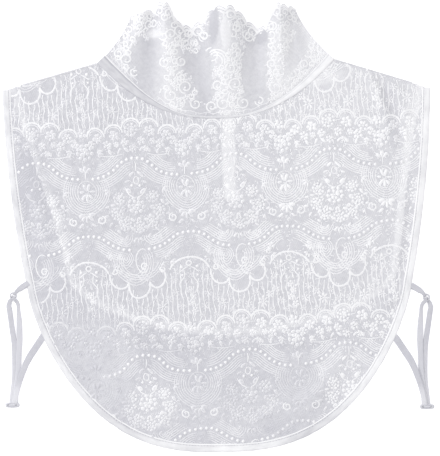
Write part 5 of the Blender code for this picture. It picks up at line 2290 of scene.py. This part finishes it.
@dataclass
class Straps:
    """The adjustable elastic of one side: a tab, a ring, a looped strap, a lower strap, a slider.

    Places are measured from the middle of the ring: outwards, down and up, in millimetres, with
    the ribbon's width as a share of the elastic's and how white it looks.
    """

    side: Side
    ring_x: float = 185.9 * MM
    ring_y: float = -62.0 * MM
    ring_radius: float = 2.7 * MM
    ring_wire: float = 0.75 * MM
    ring_height: float = 1.35 * MM
    elastic: float = 5.0 * MM
    thickness: float = 0.7 * MM
    slider_down: float = 98.3 * MM
    slider_out: float = 0.6 * MM
    slider_size: tuple = (12.8 * MM, 4.6 * MM, 2.2 * MM)
    slider_wall: float = 0.7 * MM
    slider_cheek: float = 0.75 * MM
    slider_rim: tuple = (1.25 * MM, 0.65 * MM)
    slider_corners: tuple = (0.75, 0.55)
    bar_ends: float = 4.0 * MM
    bar_half: tuple = (0.5 * MM, 0.6 * MM)
    bar_height: float = 0.95 * MM
    ribbon_corners: tuple = (0.6, 0.7)
    ribbon_lie: float = 0.88

    # The strap from the slider up through the ring and back to the slider
    loop: tuple = (
        (0.7, 99.9, 0.5, 1.2, 0.0), (0.7, 98.4, 2.35, 1.2, 0.0), (0.8, 97.0, 1.1, 1.15, 0.6),
        (0.8, 95.0, 0.5, 1.1, 0.4), (0.1, 86.0, 0.5, 1.0, 0.5), (-1.4, 72.0, 0.5, 1.0, 0.0),
        (-1.3, 51.0, 0.5, 1.0, -0.1), (-0.6, 40.0, 0.5, 1.0, -0.3), (1.0, 29.0, 0.5, 1.0, -0.35),
        (3.0, 14.5, 0.5, 1.0, -0.35), (3.9, 8.5, 0.5, 0.95, -0.3), (3.0, 5.0, 0.5, 0.8, -0.3),
        (1.2, 3.0, 0.45, 0.62, -0.3), (0.1, 1.0, 0.75, 0.56, -0.3), (-0.2, 0.5, 1.7, 0.56, -0.3),
        (-0.5, 1.4, 2.6, 0.56, -0.4), (-1.4, 3.4, 2.7, 0.66, -0.3), (-3.2, 5.2, 2.0, 0.72, -0.2),
        (-4.5, 8.5, 1.3, 0.68, -0.1), (-4.9, 14.5, 1.1, 0.75, 0.0), (-5.5, 24.0, 1.3, 1.05, 0.0),
        (-5.8, 40.0, 1.35, 1.1, 0.0), (-5.3, 51.0, 1.35, 1.0, 0.0), (-4.4, 72.0, 1.4, 1.0, 0.1),
        (-2.6, 86.0, 1.4, 1.05, 0.7), (-1.9, 94.0, 1.4, 1.1, 1.0), (-1.7, 97.0, 1.1, 1.1, 1.0),
    )
    # The tab, doubled through the ring
    tab: tuple = (
        (-13.2, -10.4, 0.5, 1.05, -0.3), (-9.0, -8.0, 0.5, 1.0, -0.3), (-5.0, -5.2, 0.5, 0.85, -0.3),
        (-2.8, -3.4, 0.6, 0.62, -0.5), (-1.2, -1.4, 0.8, 0.5, -0.5), (-0.8, -0.8, 1.6, 0.5, -0.5),
        (-1.4, -1.6, 2.5, 0.52, -0.5), (-3.0, -3.6, 2.5, 0.7, -0.5), (-5.6, -6.0, 1.9, 0.95, -0.3),
        (-9.4, -8.8, 1.6, 1.0, -0.3), (-14.0, -11.4, 1.6, 1.05, -0.4),
    )
    # The lower strap, sewn on at the bib's corner
    lower: tuple = (
        (-29.0, 34.0, 0.6, 1.25, 0.0), (-26.6, 37.4, 0.6, 1.25, -0.4), (-20.0, 47.4, 1.0, 1.25, -0.5),
        (-15.0, 55.0, 3.2, 1.25, -0.4), (-11.4, 62.0, 3.4, 1.15, -0.3), (-8.5, 69.5, 3.4, 1.05, -0.3),
        (-6.0, 77.0, 3.4, 0.95, -0.2), (-3.5, 86.6, 3.3, 0.9, 0.5), (-2.0, 94.0, 3.0, 0.85, 0.9),
        (-1.2, 97.6, 1.4, 0.8, 1.0), (-1.0, 99.4, 0.6, 0.8, 1.0),
    )

    def place(self, outward: Array, down: Array) -> Array:
        """Points of the plane from distances outwards and down, in metres."""
        x = self.side.sign * (self.ring_x + outward + self.side.lean * down)
        return np.stack([x, self.ring_y + self.side.raised - down], axis=-1)

    def ribbon(self, name: str, rows: tuple, dress: Wardrobe) -> Piece:
        """Builds a ribbon of elastic along a smooth route.

        The section is a flat oval. Its width lies square to the route in the plane, with the
        route always read downwards, so that the ribbon folds over a wire without twisting.

        Args:
            name: the ribbon's name.
            rows: the route's points.
            dress: the materials.

        Returns:
            The ribbon.
        """
        table = np.array(rows)
        scale = (MM, MM, self.ribbon_lie * MM, self.elastic, 1.0)
        route = curve_through(table * scale, 14 * len(rows))
        step = np.gradient(route, axis=0)
        flip = np.where(step[:, 1] < 0, -1.0, 1.0)
        heading = (step[:, 0] * flip, np.abs(step[:, 1]) + 0.05 * MM)
        soft = np.array([1, 2, 3, 2, 1]) / 9
        right, down = (np.convolve(np.pad(part, 2, "edge"), soft, "valid") for part in heading)
        middle = raised(self.place(route[:, 0], route[:, 1]), route[:, 2])
        aside = unit(raised(np.stack([down * self.side.sign, right], axis=1), 0.0))
        along = unit(np.gradient(middle, axis=0))
        out = unit(np.cross(aside, along))
        turn = full_turn(18)
        flat = squarer(np.cos(turn), self.ribbon_corners[0])
        wide = route[:, 3, None] / 2 * flat
        tall = self.thickness / 2 * squarer(np.sin(turn), self.ribbon_corners[1])
        sections = middle[:, None] + aside[:, None] * wide[..., None] + out[:, None] * tall[:, None]
        gone = gone_along(middle)[:, None]
        maps = np.stack(np.broadcast_arrays(gone, self.elastic / 2 * flat), axis=-1)
        light = route[:, 4, None] + 0.0 * wide
        if np.einsum("ij,ij->i", np.cross(along, out), aside).mean() < 0:
            sections, maps = sections[:, ::-1], maps[:, ::-1]
        mould = Mould()
        mould.sweep(sections[None], maps[None], light[None])
        return mould.piece(f"{name}_{self.side.name}", dress.elastic, Slot.ELASTIC)

    def tube(self, mould: Mould, path: Array, across: Array, up: float, height: float) -> None:
        """Adds a closed tube round a path in the plane.

        Args:
            mould: takes the tube.
            path: points on its middle, against the clock.
            across: its half width at each point.
            up: its half height.
            height: the height of its middle.
        """
        outward = -left_of(np.concatenate([path[-2:], path, path[:2]]))[2:-2]
        turn = full_turn(12)
        aside = np.broadcast_to(across, len(path))[:, None] * np.cos(turn)
        plan = path[:, None] + outward[:, None] * aside[..., None]
        sections = raised(plan, height + up * np.sin(turn))
        mould.sweep(sections[None], plan[None], closed=True)

    def fitting(self, mould: Mould, name: str, dress: Wardrobe) -> None:
        """Enters a moulded fitting for its CAD node."""
        made = mould.piece(f"{name}_{self.side.name}", dress.moulded, Slot.FITTINGS)
        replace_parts(made, f"strap_{name}_{self.side.name}")

    def fittings(self, dress: Wardrobe) -> None:
        """Builds the ring, and the slider as a rounded frame with a middle bar."""
        mould = Mould()
        circle = self.place(0.0, 0.0) + arc(full_turn(40), self.ring_radius, self.ring_radius)
        self.tube(mould, circle, self.ring_wire, self.ring_wire, self.ring_height)
        self.fitting(mould, "ring", dress)
        mould = Mould()
        width, depth, tall = self.slider_size
        centre = self.place(self.slider_out, self.slider_down)
        turn = full_turn(64)
        wall = self.slider_wall + self.slider_cheek * np.abs(np.cos(turn)) ** 6
        reach = squarer(np.cos(turn), self.slider_corners[0]) * (width / 2 - self.slider_rim[0])
        side = squarer(np.sin(turn), self.slider_corners[1]) * (depth / 2 - self.slider_rim[1])
        self.tube(mould, centre + np.stack([reach, side], axis=1), wall, tall / 2, tall / 2)
        bar = np.linspace(-0.5, 0.5, 12)
        path = centre + np.stack([bar * (width - self.bar_ends), 0.0 * bar], axis=1)
        around = full_turn(10)
        across, up = self.bar_half
        plan = path[:, None] + np.array([0.0, -1.0]) * (across * np.cos(around))[:, None]
        mould.sweep(raised(plan, self.bar_height + up * np.sin(around))[None], plan[None])
        self.fitting(mould, "slider", dress)

    def build(self, dress: Wardrobe) -> None:
        """Builds the three ribbons and the fittings."""
        ribbons = (("loop", self.loop, ("outer", "inner")), ("tab", self.tab, ("tab",)))
        for name, rows, nodes in (*ribbons, ("lower", self.lower, ("lower",))):
            made = self.ribbon(f"elastic_{name}", rows, dress)
            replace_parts(made, *(f"strap_{node}_{self.side.name}" for node in nodes))
        self.fittings(dress)


@dataclass
class Studio:
    """A pale floor, plain soft light and a camera straight above, turned as the photograph is."""

    eye: tuple = (1.24 * MM, -0.28 * MM, 4.56)
    turn: float = -0.0168
    lens: float = 400.0
    floor_size: float = 4.0
    floor_z: float = -0.3 * MM
    sky: float = 0.82
    key: float = 17.0
    key_place: tuple = (-1.5, 0.75, 1.25)
    fill: float = 3.0
    fill_place: tuple = (1.3, -0.9, 1.9)
    lamp_size: float = 0.9
    sky_colour: tuple = (0.985, 0.985, 1.0, 1.0)
    floor_colours: tuple = ((0.93, 0.93, 0.93), (0.95, 0.95, 0.95))
    floor_glow: float = 0.4
    layers_seen: int = 16

    def camera(self) -> None:
        """Sets the camera."""
        data = bpy.data.cameras.new("camera")
        data.lens = self.lens
        data.clip_end = 50.0
        camera = linked("camera", data)
        camera.location = self.eye
        camera.rotation_euler = (0.0, 0.0, self.turn)
        bpy.context.scene.camera = camera

    def floor(self) -> None:
        """Lays the floor, as a square just under the garment."""
        mesh = bpy.data.meshes.new("floor")
        square = ((-1, -1), (1, -1), (1, 1), (-1, 1))
        corners = [(x * self.floor_size / 2, y * self.floor_size / 2, self.floor_z) for x, y in square]
        mesh.from_pydata(corners, [], [(0, 1, 2, 3)])
        board = Board("pale_floor")
        grain = board.spread(board.noise(board.place(), 30 * MM, 2.0), 0.3, 0.7, 0.0, 1.0)
        board.finish(
            Base_Color=board.mixed(grain, *self.floor_colours),
            Roughness=0.9,
            Emission_Color=(1.0, 1.0, 1.0, 1.0),
            Emission_Strength=self.floor_glow,
        )
        mesh.materials.append(board.material)
        linked("floor", mesh)

    def lamp(self, name: str, place: tuple, power: float) -> None:
        """Hangs a square soft light that faces the garment's middle."""
        data = bpy.data.lights.new(name, "AREA")
        data.shape = "SQUARE"
        data.size = self.lamp_size
        data.energy = power
        lamp = linked(name, data)
        lamp.location = place
        x, y, z = place
        lamp.rotation_euler = (np.arctan2(np.hypot(x, y), z), 0.0, np.arctan2(y, x) + np.pi / 2)
        lamp.visible_camera = False

    def build(self) -> None:
        """Sets the camera, the floor, the lights and an even pale sky."""
        self.camera()
        self.floor()
        self.lamp("key_light", self.key_place, self.key)
        self.lamp("fill_light", self.fill_place, self.fill)
        world = bpy.data.worlds.new("sky")
        world.use_nodes = True
        background = world.node_tree.nodes["Background"]
        background.inputs["Color"].default_value = self.sky_colour
        background.inputs["Strength"].default_value = self.sky
        scene = bpy.context.scene
        scene.world = world
        scene.view_settings.view_transform = "Standard"
        scene.cycles.transparent_max_bounces = self.layers_seen


SIDES = (Side("left", -1.0, 3.8 * MM, 0.0168), Side("right", 1.0, -3.8 * MM, -0.0168))


def main() -> None:
    """Builds the studio and every piece, in the order in which a maker would."""
    logging.basicConfig(level=logging.INFO, format="%(message)s")
    Studio().build()
    dress = Wardrobe.made()
    BackBib().build(dress)
    FrontBib().build(dress)
    NeckTrims().build(dress)
    Collar().build(dress)
    for side in SIDES:
        Straps(side).build(dress)


if __name__ == "__main__":
    main()
